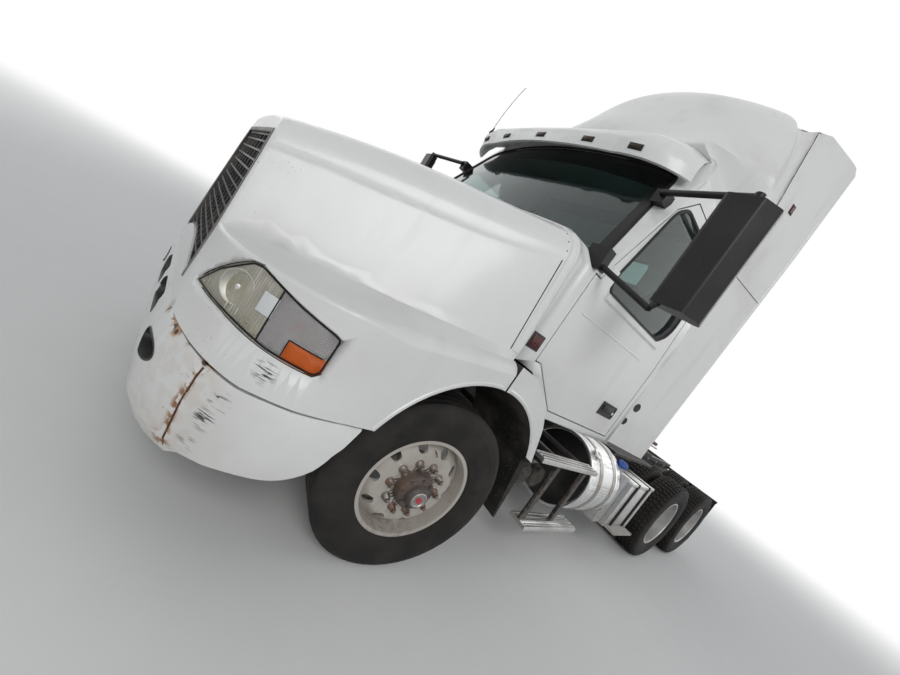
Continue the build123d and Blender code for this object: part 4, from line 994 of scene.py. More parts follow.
class Repeats:
    """Geometry node trees that repeat a small item, each ending in one plain mesh."""

    SIZES = {Pattern.RING: (("Count", "NodeSocketInt"), ("Radius", "NodeSocketFloat")),
             Pattern.GRID: (("Columns", "NodeSocketInt"), ("Rows", "NodeSocketInt"),
                            ("Pitch X", "NodeSocketFloat"), ("Pitch Y", "NodeSocketFloat"))}

    def __init__(self) -> None:
        """Build one tree for each pattern."""
        self.trees = {pattern: self.tree(pattern) for pattern in Pattern}

    def tree(self, pattern: Pattern) -> bpy.types.NodeTree:
        """Build a pattern's tree.

        Args:
            pattern: which pattern.

        Returns:
            The tree, with its sizes, item and finish as named inputs.
        """
        tree = Tree(bpy.data.node_groups.new(pattern.value, "GeometryNodeTree"))
        face = tree.tree.interface
        face.new_socket(name="Item", in_out="INPUT", socket_type="NodeSocketObject")
        face.new_socket(name="Finish", in_out="INPUT", socket_type="NodeSocketMaterial")
        for name, kind in self.SIZES[pattern]:
            face.new_socket(name=name, in_out="INPUT", socket_type=kind)
        face.new_socket(name="Geometry", in_out="OUTPUT", socket_type="NodeSocketGeometry")
        given = tree.node("NodeGroupInput", {})
        item = tree.node("GeometryNodeObjectInfo", {"Object": given.other("Item")}, "Geometry")
        inputs = {"Instance": item}
        if pattern is Pattern.RING:
            count = given.other("Count")
            inputs["Points"] = tree.node("GeometryNodeMeshCircle",
                                         {"Vertices": count, "Radius": given.other("Radius")}, "Mesh")
            angle = tree.node("GeometryNodeInputIndex", {}) / count * (2 * math.pi)
            inputs["Rotation"] = tree.node("ShaderNodeCombineXYZ", {"Z": angle})
        else:
            sizes = {}
            for axis, count in (("X", given.other("Columns")), ("Y", given.other("Rows"))):
                sizes["Vertices " + axis] = count
                sizes["Size " + axis] = (count - 1) * given.other("Pitch " + axis)
            inputs["Points"] = tree.node("GeometryNodeMeshGrid", sizes, "Mesh")
        copies = tree.node("GeometryNodeInstanceOnPoints", inputs)
        whole = tree.node("GeometryNodeRealizeInstances", {0: copies})
        dressed = tree.node("GeometryNodeSetMaterial", {"Geometry": whole, "Material": given.other("Finish")})
        tree.join(dressed, tree.tree.nodes.new("NodeGroupOutput").inputs["Geometry"])
        return tree.tree

    def spread(self, pattern: Pattern, item: Shape, finish: Finish, places: Sequence[Matrix],
               **sizes: float) -> Shape:
        """Repeat an item and set the result at some places.

        Args:
            pattern: which pattern.
            item: the item, which is used up.
            finish: the item's finish.
            places: where each whole pattern goes; a ring lies in its XY plane.
            sizes: the tree's named inputs, with underscores for spaces.

        Returns:
            One shape with every copy.
        """
        one = bpy.data.objects.new("item", item.mesh("item"))
        host = bpy.data.objects.new("host", bpy.data.meshes.new("host"))
        for thing in (one, host):
            bpy.context.scene.collection.objects.link(thing)
        step = host.modifiers.new("repeat", "NODES")
        step.node_group = self.trees[pattern]
        values = {"Item": one, "Finish": finish.material()}
        values.update({key.replace("_", " "): value for key, value in sizes.items()})
        for socket in step.node_group.interface.items_tree:
            if socket.in_out == "INPUT":
                step[socket.identifier] = values[socket.name]
        bpy.context.view_layer.update()
        made = bpy.data.meshes.new_from_object(host.evaluated_get(bpy.context.evaluated_depsgraph_get()))
        host.modifiers.remove(step)
        whole = Shape()
        for matrix in places:
            copy = made.copy()
            copy.transform(matrix)
            whole.bm.from_mesh(copy)
            bpy.data.meshes.remove(copy)
        for thing in (one, host):
            bpy.data.objects.remove(thing)
        return whole

    def ring(self, item: Shape, finish: Finish, places: Sequence[Hit], count: int, radius: float) -> Shape:
        """Repeat an item round rings.

        Args:
            item: the item, which is used up.
            finish: the item's finish.
            places: each ring's middle and axis.
            count: how many items a ring has.
            radius: the rings' radius.

        Returns:
            One shape with every copy.
        """
        matrices = [facing(*place) for place in places]
        return self.spread(Pattern.RING, item, finish, matrices, Count=count, Radius=radius)


def repaint(piece: bpy.types.Object, finish: Finish, test: Callable[[bpy.types.MeshPolygon], bool]) -> None:
    """Give some faces of a piece another finish.

    Args:
        piece: the piece.
        finish: the other finish.
        test: says whether a face takes it.
    """
    piece.data.materials.append(finish.material())
    for face in piece.data.polygons:
        if test(face):
            face.material_index = len(piece.data.materials) - 1


@dataclass
class Skins:
    """Smooth-shaded copies of the part's solids, and the finish of every one of them."""

    weld: float = 0.00002
    sharp: float = 30.0
    lift: float = 0.004
    shell_gap: float = 0.08
    smooth: tuple[tuple[str, Finish, Optional[Finish]], ...] = (
        ("hood_shell", WHITE_HOOD, DARK_LINER_AND_HOLE_SHADE), ("bumper_center bumper_ends", WHITE_BUMPER, DARK_LINER_AND_HOLE_SHADE),
        ("cab_roof cab_shell door_left door_right", WHITE, INSIDE), ("rear_wings", WHITE, None),
        ("sun_visor side_extenders", WHITE_FAIRING, None), ("roof_fairing", WHITE_FAIRING, DARK_LINER_AND_HOLE_SHADE),
        ("grille", GRILLE_PAINT, None), ("mirrors", MIRROR_SHELL, None), ("cab_glass", SCREEN, None),
        ("door_glass_left door_glass_right", SIDE_GLASS, None), ("fuel_tanks", TANK_METAL, None),
        ("tank_straps exhaust_canister", STEEL, None), ("air_reservoirs cab_steps", CHASSIS, None),
        ("front_axle front_springs rear_axles rear_suspension driveline engine_block steering_gear "
         "knuckle_left knuckle_right tie_rod fifth_wheel_plate fifth_wheel_base", IRON, None),
        ("dashboard", INSIDE, None), ("front_rim_left front_rim_right", WHEEL, None),
        ("def_tank", GREY_BOX, None),
        ("axle1_rims_left axle1_rims_right axle2_rims_left axle2_rims_right", ALLOY, None))
    plain: tuple[tuple[str, Finish], ...] = (
        ("frame_rails crossmembers tail_bar deck_plate", CHASSIS), ("battery_box", GREY_BOX),
        ("cab_mounts", IRON), ("mud_flaps", RUBBER), ("radiator_pack", CORE))

    def copy(self, node: str) -> Shape:
        """Give a merged copy of a node's mesh."""
        shape = Shape(frame["nodes"][node].data)
        bmesh.ops.remove_doubles(shape.bm, verts=list(shape.bm.verts), dist=self.weld)
        return shape

    def within(self, shape: Shape) -> set[int]:
        """Find the faces that look at the shape's own other side, such as a shell's inside."""
        tree = BVHTree.FromBMesh(shape.bm)
        found = set()
        for number, face in enumerate(shape.bm.faces):
            hit, _, _, gap = tree.ray_cast(face.calc_center_median() + face.normal * self.lift, face.normal)
            if hit is not None and gap > self.shell_gap:
                found.add(number)
        return found

    def skin(self, node: str, finish: Finish, inside: Optional[Finish]) -> bpy.types.Object:
        """Stand a smooth copy in for a node.

        Args:
            node: the node.
            finish: its finish.
            inside: the finish of its inside.

        Returns:
            The piece.
        """
        shape = self.copy(node)
        if node == "mirrors":
            bmesh.ops.dissolve_limit(shape.bm, angle_limit=math.radians(2), verts=list(shape.bm.verts),
                                     edges=list(shape.bm.edges))
        within = self.within(shape) if inside else set()
        body = frame["nodes"][node]["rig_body"]
        piece = shape.settle(f"{node}_skin", finish, body, sharp=self.sharp, outward=False)
        if inside:
            repaint(piece, inside, lambda face: face.index in within)
        piece.modifiers.new("even_shading", "WEIGHTED_NORMAL").keep_sharp = True
        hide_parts(node)
        return piece

    def build(self) -> None:
        """Dress every node of the part."""
        extras = {"rear_wings": self.flap, "cab_steps": self.treads, "mirrors": self.soften,
                  "front_rim_left": self.hub, "front_rim_right": self.hub}
        for nodes, finish, inside in self.smooth:
            for node in nodes.split():
                piece = self.skin(node, finish, inside)
                if node in extras:
                    extras[node](piece)
        for nodes, finish in self.plain:
            for node in nodes.split():
                mesh = frame["nodes"][node].data
                mesh.materials.clear()
                mesh.materials.append(finish.material())

    def soften(self, piece: bpy.types.Object) -> None:
        """Round the mirrors' edges."""
        soft = piece.modifiers.new("soft_edges", "BEVEL")
        soft.width, soft.segments, soft.limit_method = 0.012, 3, "ANGLE"
        soft.angle_limit = math.radians(25)
        piece.modifiers.move(len(piece.modifiers) - 1, 0)

    def flap(self, piece: bpy.types.Object) -> None:
        """Give the rear wings' arches and the flaps below them the black liner."""
        def black(face: bpy.types.MeshPolygon) -> bool:
            """Say whether a face is of the flap or looks at the wheel."""
            middle, out = face.center, face.normal
            to_wheel = Vector((0, FRONT_AXLE_Y + 0.035 - middle.y, 0.6 - middle.z))
            return middle.z < 0.88 or abs(middle.x) < 1.1 or (abs(out.x) < 0.5 and out.dot(to_wheel) > 0)

        repaint(piece, DARK_LINER_AND_HOLE_SHADE, black)

    def treads(self, piece: bpy.types.Object) -> None:
        """Give the steps' boards bare aluminium between their black posts."""
        repaint(piece, STEP_METAL, lambda face: abs(face.center.x) > 1.0 and (
            0.870 < face.center.z < 0.908 or 0.326 < face.center.z < 0.364))

    def hub(self, piece: bpy.types.Object) -> None:
        """Give the greasy hub and nuts of a front rim their own finish."""
        wheel = WHEELS[piece.name.replace("front_rim", "front_wheel").replace("_skin", "")]

        def inner(face: bpy.types.MeshPolygon, radius: float, depth: float) -> bool:
            """Say whether a face is inside a radius and further out than a depth."""
            arm = face.center - wheel.middle
            along = arm.dot(wheel.out)
            return (arm - wheel.out * along).length < radius and along > depth

        repaint(piece, HUB_GREASE, lambda face: inner(face, 0.114, 0.06))
        repaint(piece, NUT, lambda face: inner(face, 0.165, 0.0935) and not inner(face, 0.114, 0.06))


@dataclass(frozen=True)
class Wheel:
    """One wheel, or pair of wheels: its body, middle, outward direction and tyres' places along it."""

    body: str
    middle: Vector
    out: Vector
    tyres: tuple[float, ...]
    drive: bool

    def at(self, along: float) -> Hit:
        """Give a place on the wheel's axis with the axis's direction."""
        return self.middle + self.out * along, self.out


def wheel_places(steered: float = -8.5, king_pin: float = 0.915, stub: float = 0.103,
                 twin_middle: float = 0.9425, twin_gap: float = 0.1675) -> dict[str, Wheel]:
    """Work out where every wheel stands.

    Args:
        steered: the front wheels' turn in degrees.
        king_pin: how far from the part's middle a king pin stands.
        stub: from the king pin to the front wheel's middle.
        twin_middle: how far from the part's middle a pair of wheels stands.
        twin_gap: from the pair's middle to each tyre's.

    Returns:
        The wheels by the names of their bodies.
    """
    found: dict[str, Wheel] = {}
    turn = math.radians(steered)
    for hand, word in HANDS:
        middle = Vector((hand * (king_pin + stub * math.cos(turn)),
                         FRONT_AXLE_Y + hand * stub * math.sin(turn), WHEEL_Z))
        out = Vector((math.cos(turn), math.sin(turn), 0)) * hand
        found[f"front_wheel_{word}"] = Wheel(f"front_wheel_{word}", middle, out, (0.0,), False)
        for axle in ("axle1", "axle2"):
            low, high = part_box(f"{axle}_rims_{word}")
            name = f"{axle}_wheels_{word}"
            middle = Vector((hand * twin_middle, (low.y + high.y) / 2, WHEEL_Z))
            found[name] = Wheel(name, middle, Vector((hand, 0, 0)), (twin_gap, -twin_gap), True)
    return found


WHEELS = wheel_places()


@dataclass
class Tyres:
    """All the tyres: ribbed ones in front, and lugged ones on the driven axles."""

    radius: float = 0.5045
    lug_depth: float = 0.014
    lug_length: float = 0.034
    lug_count: int = 56
    sides: int = 96
    side: tuple[Flat, ...] = (
        (-0.1105, 0.2905), (-0.119, 0.296), (-0.1215, 0.303), (-0.1245, 0.306), (-0.1275, 0.318),
        (-0.134, 0.345), (-0.1375, 0.352), (-0.1385, 0.365), (-0.1420, 0.39), (-0.1425, 0.412),
        (-0.1422, 0.432), (-0.1432, 0.436), (-0.1415, 0.441), (-0.1385, 0.458), (-0.1385, 0.463),
        (-0.133, 0.475), (-0.1265, 0.489))
    blocks: tuple[Spot, ...] = ((-0.096, 0.040, 0.006), (-0.047, 0.036, -0.005), (0.0, 0.036, 0.005),
                                (0.047, 0.036, -0.005), (0.096, 0.040, 0.006))

    def section(self, drive: bool) -> list[Flat]:
        """Give half of a tyre's section.

        Args:
            drive: whether the tyre is of a driven axle.

        Returns:
            Places across and radii, from the bead to the middle of the tread.
        """
        top = self.radius
        if drive:
            low = top - self.lug_depth
            return [*self.side, (-0.119, low), (-0.06, low + 0.001), (0.0, low + 0.001)]
        ribs = [(-0.118, top - 0.006), (-0.112, top - 0.001)]
        for start in (-0.084, -0.034):
            ribs += [(start, top), (start + 0.002, top - 0.011), (start + 0.009, top - 0.011),
                     (start + 0.011, top)]
        return [*self.side, *ribs, (0.0, top)]

    def lugs(self) -> Shape:
        """Make one pitch of the driven tyre's tread, five blocks across, out from the axis along X."""
        shape = Shape()
        for across, wide, lead in self.blocks:
            for vert in bmesh.ops.create_cube(shape.bm, size=1.0)["verts"]:
                x, y, z = vert.co
                taper = 0.9 if x > 0 else 1.0
                slope = 0.1 * z * (1 if across >= 0 else -1)
                drop = 0.006 if abs(across) > 0.09 and x > 0 and z * across > 0 else 0.0
                vert.co = Vector((x * (self.lug_depth + 0.004) - 0.002 - drop,
                                  (y * self.lug_length + slope * 0.05) * taper + lead,
                                  z * wide * taper + across))
        return shape

    def build(self, repeats: Repeats) -> None:
        """Make every tyre, one piece to a wheel body.

        Args:
            repeats: the trees that set lugs round a tyre.
        """
        for word, wheel in WHEELS.items():
            half = self.section(wheel.drive)
            whole = half + [(-a, r) for a, r in reversed(half[:-1])]
            shape = Shape()
            for shift in wheel.tyres:
                shape.lathe([(a + shift, r) for a, r in whole], *wheel.at(0), self.sides, True)
            shape.outwards()
            if wheel.drive:
                places = [wheel.at(shift) for shift in wheel.tyres]
                radius = self.radius - self.lug_depth / 2 + 0.001
                shape.add(repeats.ring(self.lugs(), TYRE, places, self.lug_count, radius).outwards())
            piece = shape.settle(f"{word}_tyres", TYRE, wheel.body, sharp=34, outward=False)
            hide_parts(word.replace("wheels", "tyres").replace("wheel", "tyre"))


@dataclass
class WheelTrim:
    """Nuts, studs, hub bolts and oil caps of the wheels, and dark discs of painted shade where the rims' hand
    openings are.
    """

    bolt_circle: float = 0.142875
    stud: float = 0.0105
    front_face: float = 0.092
    front_hub: float = 0.190
    rear_face: float = 0.013
    rear_hub: float = 0.155

    def nut(self, high: float, wide: float, stud: float) -> Shape:
        """Make a flanged nut with its stud, upright on Z.

        Args:
            high: the nut's height.
            wide: its radius.
            stud: how far the stud stands out of it.

        Returns:
            The nut.
        """
        end = high + stud
        return Shape().lathe([(0, 0), (0, wide * 1.28), (0.004, wide * 1.22), (0.005, wide)], sides=12).lathe(
            [(0.004, wide), (high - 0.003, wide), (high, wide * 0.84), (high, self.stud), (end, self.stud),
             (end + 0.002, self.stud * 0.7), (end + 0.002, 0)], sides=6)

    def bolt(self, size: float) -> Shape:
        """Make a small hexagon bolt head on a washer, upright on Z."""
        return Shape().lathe([(-0.002, 0), (-0.002, size * 1.35), (0.002, size * 1.35), (0.002, size),
                              (size * 0.8, size), (size, size * 0.8), (size, 0)], sides=6)

    def front(self, wheel: Wheel, repeats: Repeats) -> None:
        """Dress a front wheel.

        Args:
            wheel: the wheel.
            repeats: the trees that set items round it.
        """
        body, end, axis = wheel.body, self.front_hub, wheel.at(0)
        studs = Shape().lathe([(0.0, self.stud), (0.014, self.stud), (0.016, self.stud * 0.7), (0.016, 0)],
                              sides=8)
        washers = Shape().lathe([(0, 0.019), (0, 0.0245), (0.004, 0.0235), (0.006, 0.019)], sides=14,
                                loop=True)
        ring = repeats.ring(studs, NUT, [wheel.at(self.front_face + 0.031)], 10, self.bolt_circle)
        ring.add(repeats.ring(washers, NUT, [wheel.at(self.front_face)], 10, self.bolt_circle))
        ring.settle(f"{body}_studs", NUT, body)
        caps = repeats.ring(self.bolt(0.0075), HUB_GREASE, [wheel.at(0.147)], 8, 0.081)
        for radius, along in ((0.099, 0.062), (0.108, 0.020)):
            caps.lathe([(along, radius + 0.004), (along, radius + 0.009), (along + 0.006, radius + 0.009),
                        (along + 0.006, radius + 0.003)], *axis, 40, True)
        caps.settle(f"{body}_hub_bolts", HUB_GREASE, body)
        cap = [(end - 0.004, 0.0), (end - 0.004, 0.044), (end + 0.002, 0.044), (end + 0.0045, 0.040),
               (end + 0.0045, 0.034), (end + 0.001, 0.031), (end + 0.001, 0.0)]
        Shape().lathe(cap, *axis, 32).settle(f"{body}_oil_cap", STEEL, body)
        plug = [(end, 0.0), (end, 0.017), (end + 0.005, 0.0165), (end + 0.007, 0.012), (end + 0.0065, 0.006),
                (end + 0.004, 0.0)]
        Shape().lathe(plug, *axis, 24).settle(f"{body}_oil_plug", OIL_PLUG, body)
        spot = wheel.at(0.085)[0] + Vector((0, 0, 0.225))
        Shape().tube([spot, spot + wheel.out * 0.02, spot + wheel.out * 0.04 + Vector((0, 0, -0.01))], 0.004,
                     8).settle(f"{body}_valve", STEEL, body)

    def rear(self, wheel: Wheel, repeats: Repeats) -> None:
        """Dress a pair of driven wheels.

        Args:
            wheel: the pair.
            repeats: the trees that set items round it.
        """
        body = wheel.body
        ring = repeats.ring(self.nut(0.032, 0.0175, 0.014), NUT, [wheel.at(self.rear_face)], 10,
                            self.bolt_circle)
        ring.add(repeats.ring(self.nut(0.013, 0.010, 0.006), NUT, [wheel.at(self.rear_hub)], 8, 0.070))
        ring.settle(f"{body}_nuts", NUT, body)
        disc_slope = math.atan2(0.062, 0.082)
        # Each hand opening is a dark disc laid on the rim's slope: painted shade, not a cut.
        hole_shade_disc = Shape().lathe([(-0.004, 0), (-0.004, 0.031), (0.001, 0.031), (0.0025, 0.0285), (0.001, 0.026),
                              (-0.001, 0.0255), (-0.001, 0)], sides=14)
        hole_shade_disc.move(Matrix.Rotation(-disc_slope, 4, "Y"))
        repeats.ring(hole_shade_disc, DARK_LINER_AND_HOLE_SHADE, [wheel.at(0.0405)], 10, 0.2345).settle(f"{body}_hand_holes", DARK_LINER_AND_HOLE_SHADE, body)
        end = [(0.1545, 0.030), (0.1545, 0.034), (0.163, 0.033), (0.166, 0.028), (0.166, 0.0), (0.1545, 0.0)]
        Shape().lathe(end, *wheel.at(0), 24).settle(f"{body}_shaft_end", IRON, body)

    def build(self, repeats: Repeats) -> None:
        """Dress every wheel."""
        for wheel in WHEELS.values():
            (self.rear if wheel.drive else self.front)(wheel, repeats)


@dataclass
class Headlamps:
    """The two headlamps: housing, reflector bowl, bulbs and a lens in three parts."""

    origin: Vector = Vector((1.020, -3.395, 1.0))
    along: Vector = Vector((0.667, 0.745, 0.0))
    out: Vector = Vector((0.745, -0.667, 0.0))
    turn_start: float = 0.0
    orange_start: float = 0.100
    orange_top: float = 1.012
    rim: tuple[Flat, ...] = ((-0.340, 0.985), (-0.262, 1.082), (-0.150, 1.172), (-0.108, 1.180),
                             (0.080, 1.138), (0.225, 1.114), (0.252, 1.104), (0.248, 0.962),
                             (0.228, 0.940), (0.045, 0.936), (-0.170, 0.966))

    def spot(self, along: float, high: float, depth: float) -> Vector:
        """Give a place in the left lamp by its distance along the corner, height and depth behind it."""
        point = self.origin + self.along * along - self.out * depth
        return Vector((point.x, point.y, high))

    def build(self, skins: Skins) -> None:
        """Make the lamps in place of their solids.

        Args:
            skins: gives the solids' copy.
        """
        lamp = skins.copy("headlamps")
        bm = lamp.bm
        bmesh.ops.delete(bm, geom=[v for v in bm.verts if v.co.x < 0], context="VERTS")
        for normal, point in ((self.along, self.spot(self.turn_start, 1.0, 0)),
                              (self.along, self.spot(self.orange_start, 1.0, 0)),
                              (Vector((0, 0, 1)), Vector((1, -3.3, self.orange_top)))):
            bmesh.ops.bisect_plane(bm, geom=list(bm.verts) + list(bm.edges) + list(bm.faces), plane_co=point,
                                   plane_no=normal, dist=1e-5)
        for kind, finish, thick in (("housing", REFLECTOR, 0.0015), ("main_lens", LENS_MAIN, 0.0035),
                                    ("turn_lens", LENS_TURN, 0.0035), ("orange_lens", LENS_ORANGE, 0.0035)):
            part = lamp.copied()
            drop = [f for f in part.bm.faces if self.kind(f) != kind]
            bmesh.ops.delete(part.bm, geom=drop, context="FACES")
            piece = part.mirror().settle(f"headlamp_{kind}", finish, "hood", sharp=40, outward=False)
            wall(piece, thick, -1.0)
            if kind == "housing":
                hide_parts("headlamps")
        bm.free()
        self.inner()
        self.ribs()

    def kind(self, face: bmesh.types.BMFace) -> str:
        """Say which part of the lamp a face of its solid belongs to."""
        middle = face.calc_center_median()
        along = (middle - self.origin).dot(self.along)
        if face.normal.dot(self.out) < 0.4:
            return "housing"
        if along < self.turn_start:
            return "main_lens"
        return "orange_lens" if along > self.orange_start and middle.z < self.orange_top else "turn_lens"

    def inner(self) -> None:
        """Make the bowl with its shelf and flutes, and the bulbs."""
        bowl = Shape().lathe([(0.0, 0.010), (0.004, 0.024), (0.013, 0.042), (0.026, 0.056), (0.036, 0.062),
                              (0.036, 0.065), (0.024, 0.059), (0.010, 0.045), (0.0, 0.027), (-0.004, 0.010)],
                             self.spot(-0.155, 1.065, 0.058), self.out, 36, True)
        bowl.pad((self.spot(0.05, 0.985, 0.05), self.out), 0.16, 0.008, 0.03, 0.002)
        for number in range(7):
            bowl.pad((self.spot(-0.155 + number * 0.022, 0.992, 0.03), self.out), 0.004, 0.03, 0.012, 0.001)
        bowl.mirror().settle("headlamp_bowls", REFLECTOR, "hood")
        for name, finish, place, profile in (
                ("turn_bulbs", LENS_ORANGE, (0.10, 1.066, 0.052),
                 [(0.0, 0.0), (0.0, 0.011), (0.018, 0.012), (0.028, 0.009), (0.033, 0.0)]),
                ("headlamp_bulbs", CHROME, (-0.155, 1.065, 0.05),
                 [(0.0, 0.0), (0.0, 0.010), (0.020, 0.011), (0.026, 0.0)])):
            bulb = Shape().lathe(profile, self.spot(*place), self.out, 16)
            bulb.mirror().settle(name, finish, "hood", Slot.LAMP)

    def ribs(self) -> None:
        """Lay the dark ribs between the parts of the lens, and its rim."""
        touch, shape = Touch("headlamps"), Shape()
        for starts, wide, high in (
                ([(self.turn_start, 0.952 + 0.2 * k / 10) for k in range(11)], 0.007, 0.0012),
                ([(self.orange_start + 0.128 * k / 6, self.orange_top) for k in range(7)], 0.005, 0.0010),
                ([(self.orange_start, 0.948 + 0.064 * k / 4) for k in range(5)], 0.005, 0.0010)):
            shape.strip(touch.path((self.spot(*start, -0.3) for start in starts), -self.out), wide, high)
        rim = [self.spot(*start, -0.3) for start in grown(rounded(self.rim, 0.012, 3, 0.04), -0.005)]
        shape.strip(touch.path(rim, -self.out), 0.008, 0.0010, 0.001, True)
        shape.mirror().settle("headlamp_ribs", FRIT, "hood")


@dataclass
class Nose:
    """Trim of the hood and bumper: grille band, opening linings, rear lip, arch lips and bumper joints."""

    lip_y: float = -2.340
    lip_width: float = 0.046
    arch_middle: Flat = (-2.320, 0.600)
    arch_radius: float = 0.604
    fog: tuple[float, float, float, float] = (0.657, 0.652, 0.100, 0.048)
    slot: tuple[float, float, float, float] = (0.200, 0.690, 0.105, 0.060)
    screen_y: float = -3.342
    grille: tuple[Flat, ...] = ((0.541, 0.92), (0.557, 1.15), (0.487, 1.505), (0.444, 1.607))

    def band(self) -> None:
        """Lay the bright band on the grille's rim."""
        outline = [self.grille[0]]
        for low, high in neighbours(self.grille, False):
            outline += [tuple(Vector(low).lerp(Vector(high), k / 6)) for k in range(1, 7)]
        outline += [(0.444 - 0.0888 * k, 1.607) for k in range(1, 5)]
        outline += [(-x, z) for x, z in reversed(outline)]
        places = Touch("hood_shell").path([(x, -4.2, z) for x, z in outline], (0, 1, 0))
        Shape().strip(places, 0.024, 0.004).settle("grille_band", GRILLE_BAND, "hood")

    def cups(self, name: str, place: Flat, around: Sequence[Flat], steps: Sequence[Flat]) -> None:
        """Line an opening of the bumper and its mirror image with dark cups.

        Args:
            name: the piece's name.
            place: the opening's middle, across and up.
            around: the opening's outline about its middle.
            steps: scale of the outline and depth behind the bumper's face, from the lip inwards.
        """
        touch, shape = Touch("bumper_center"), Shape()
        x, z = place
        edge = []
        for aside, up in around:
            found = touch.hit((x + aside * 1.09, -4.2, z + up * 1.09), (0, 1, 0))
            if found:
                edge.append((aside, up, found[0].y))
        rings = [shape.points((x + aside * scale, y + depth, z + up * scale) for aside, up, y in edge)
                 for scale, depth in steps]
        shape.stitch(rings)
        shape.bm.faces.new(rings[-1])
        wall(shape.outwards().mirror().settle(name, PLASTIC, outward=False), 0.002, 0.0)

    def linings(self) -> None:
        """Line the fog openings and the two air slots."""
        x, z, wide, high = self.fog
        turns = [2 * math.pi * step / 40 for step in range(40)]
        self.cups("fog_recesses", (x, z), [(math.cos(turn) * wide, math.sin(turn) * high) for turn in turns],
                  ((1.07, -0.002), (1.03, -0.004), (0.975, -0.004), (0.97, 0.008), (0.8, 0.060)))
        x, z, straight, end = self.slot
        self.cups("slot_recesses", (x, z),
                  [(math.copysign(straight, math.cos(turn)) + math.cos(turn) * end, math.sin(turn) * end)
                   for turn in (turn + math.pi / 40 for turn in turns)],
                  ((0.985, 0.001), (0.97, 0.010), (0.9, 0.055)))

    def screens(self) -> None:
        """Stand the radiator's dark side screens behind the grille."""
        touch, shape = Touch("hood_shell"), Shape()
        rows = []
        for z in (0.985, 1.05, 1.15, 1.25, 1.35, 1.45, 1.55, 1.60):
            found = touch.hit((0.0, self.screen_y, z), (1, 0, 0))
            wide = min(found[0].x - 0.03, 0.60) if found else 0.45
            rows.append(shape.points((x, self.screen_y, z) for x in (-wide, -0.40, 0.40, wide)))
        for low, high in neighbours(rows, False):
            for column in (0, 1, 2) if low is rows[0] else (0, 2):
                shape.bm.faces.new((low[column], low[column + 1], high[column + 1], high[column]))
        wall(shape.settle("radiator_screens", PLASTIC, outward=False), 0.006, 0.0)

    def arch(self, touch: Touch, turns: Sequence[float], wide: float, high: float) -> Shape:
        """Lay a lip round both wheel arches.

        Args:
            touch: the surface.
            turns: the angles of its points.
            wide: its width.
            high: how far it stands out.

        Returns:
            The lips.
        """
        y, z = self.arch_middle
        reach = self.arch_radius
        line = [(y - math.cos(turn) * reach, z + math.sin(turn) * reach) for turn in turns]
        return Shape().strip(touch.from_left(line), wide, high).mirror()

    def lips(self) -> None:
        """Lay the raised band round the hood's rear edge, a thin black strip of painted shade where its
        groove is, and the lips of the wheel arches.
        """
        touch, lips, groove = Touch("hood_shell"), Shape(), Shape()
        round_hood = [Vector((math.cos(turn), 0, math.sin(turn))) for turn in arc(4, 172, 72)]
        # The groove is no cut: a thin black rubber strip lies on the hood as painted shade where the groove's
        # shadow falls.
        for shape, y, wide, high in ((lips, self.lip_y, self.lip_width, 0.009),
                                     (groove, self.lip_y - 0.03, 0.006, 0.0006)):
            rays = ((Vector((0, y, 1.30)) + way * 2.2, -way) for way in round_hood)
            shape.strip(touch.paths(rays), wide, high)
        lips.add(self.arch(touch, arc(14, 74, 30), 0.020, 0.005)).settle("hood_lips", WHITE_HOOD, "hood")
        groove.settle("hood_groove", RUBBER, "hood")
        self.arch(Touch("rear_wings"), arc(93, 58, 24), 0.022, 0.007).settle("rear_wing_lips", WHITE)

    def joints(self) -> None:
        """Mark the rusty joints between the bumper's middle and its ends."""
        out = Vector((0.669, -0.743, 0))
        starts = [Vector((0.950, -3.481, 0.412 + 0.385 * k / 20)) + out * 0.3 for k in range(21)]
        places = Touch("bumper_center", "bumper_ends").path(starts, -out)
        Shape().strip(places, 0.009, 0.0012).mirror().settle("bumper_joints", RUST)

    def stickers(self) -> None:
        """Put the blank sticker on the left headlamp's lens."""
        found = Touch("headlamps").hit((1.6, -3.95, 1.075), (-0.745, 0.667, 0))
        if found:
            Shape().pad(found, 0.062, 0.075, 0.0006, 0.0002, 0.0005).settle("lamp_sticker", LABEL, "hood")

    def build(self) -> None:
        """Make all of the nose's trim."""
        for step in (self.band, self.linings, self.screens, self.lips, self.joints, self.stickers):
            step()


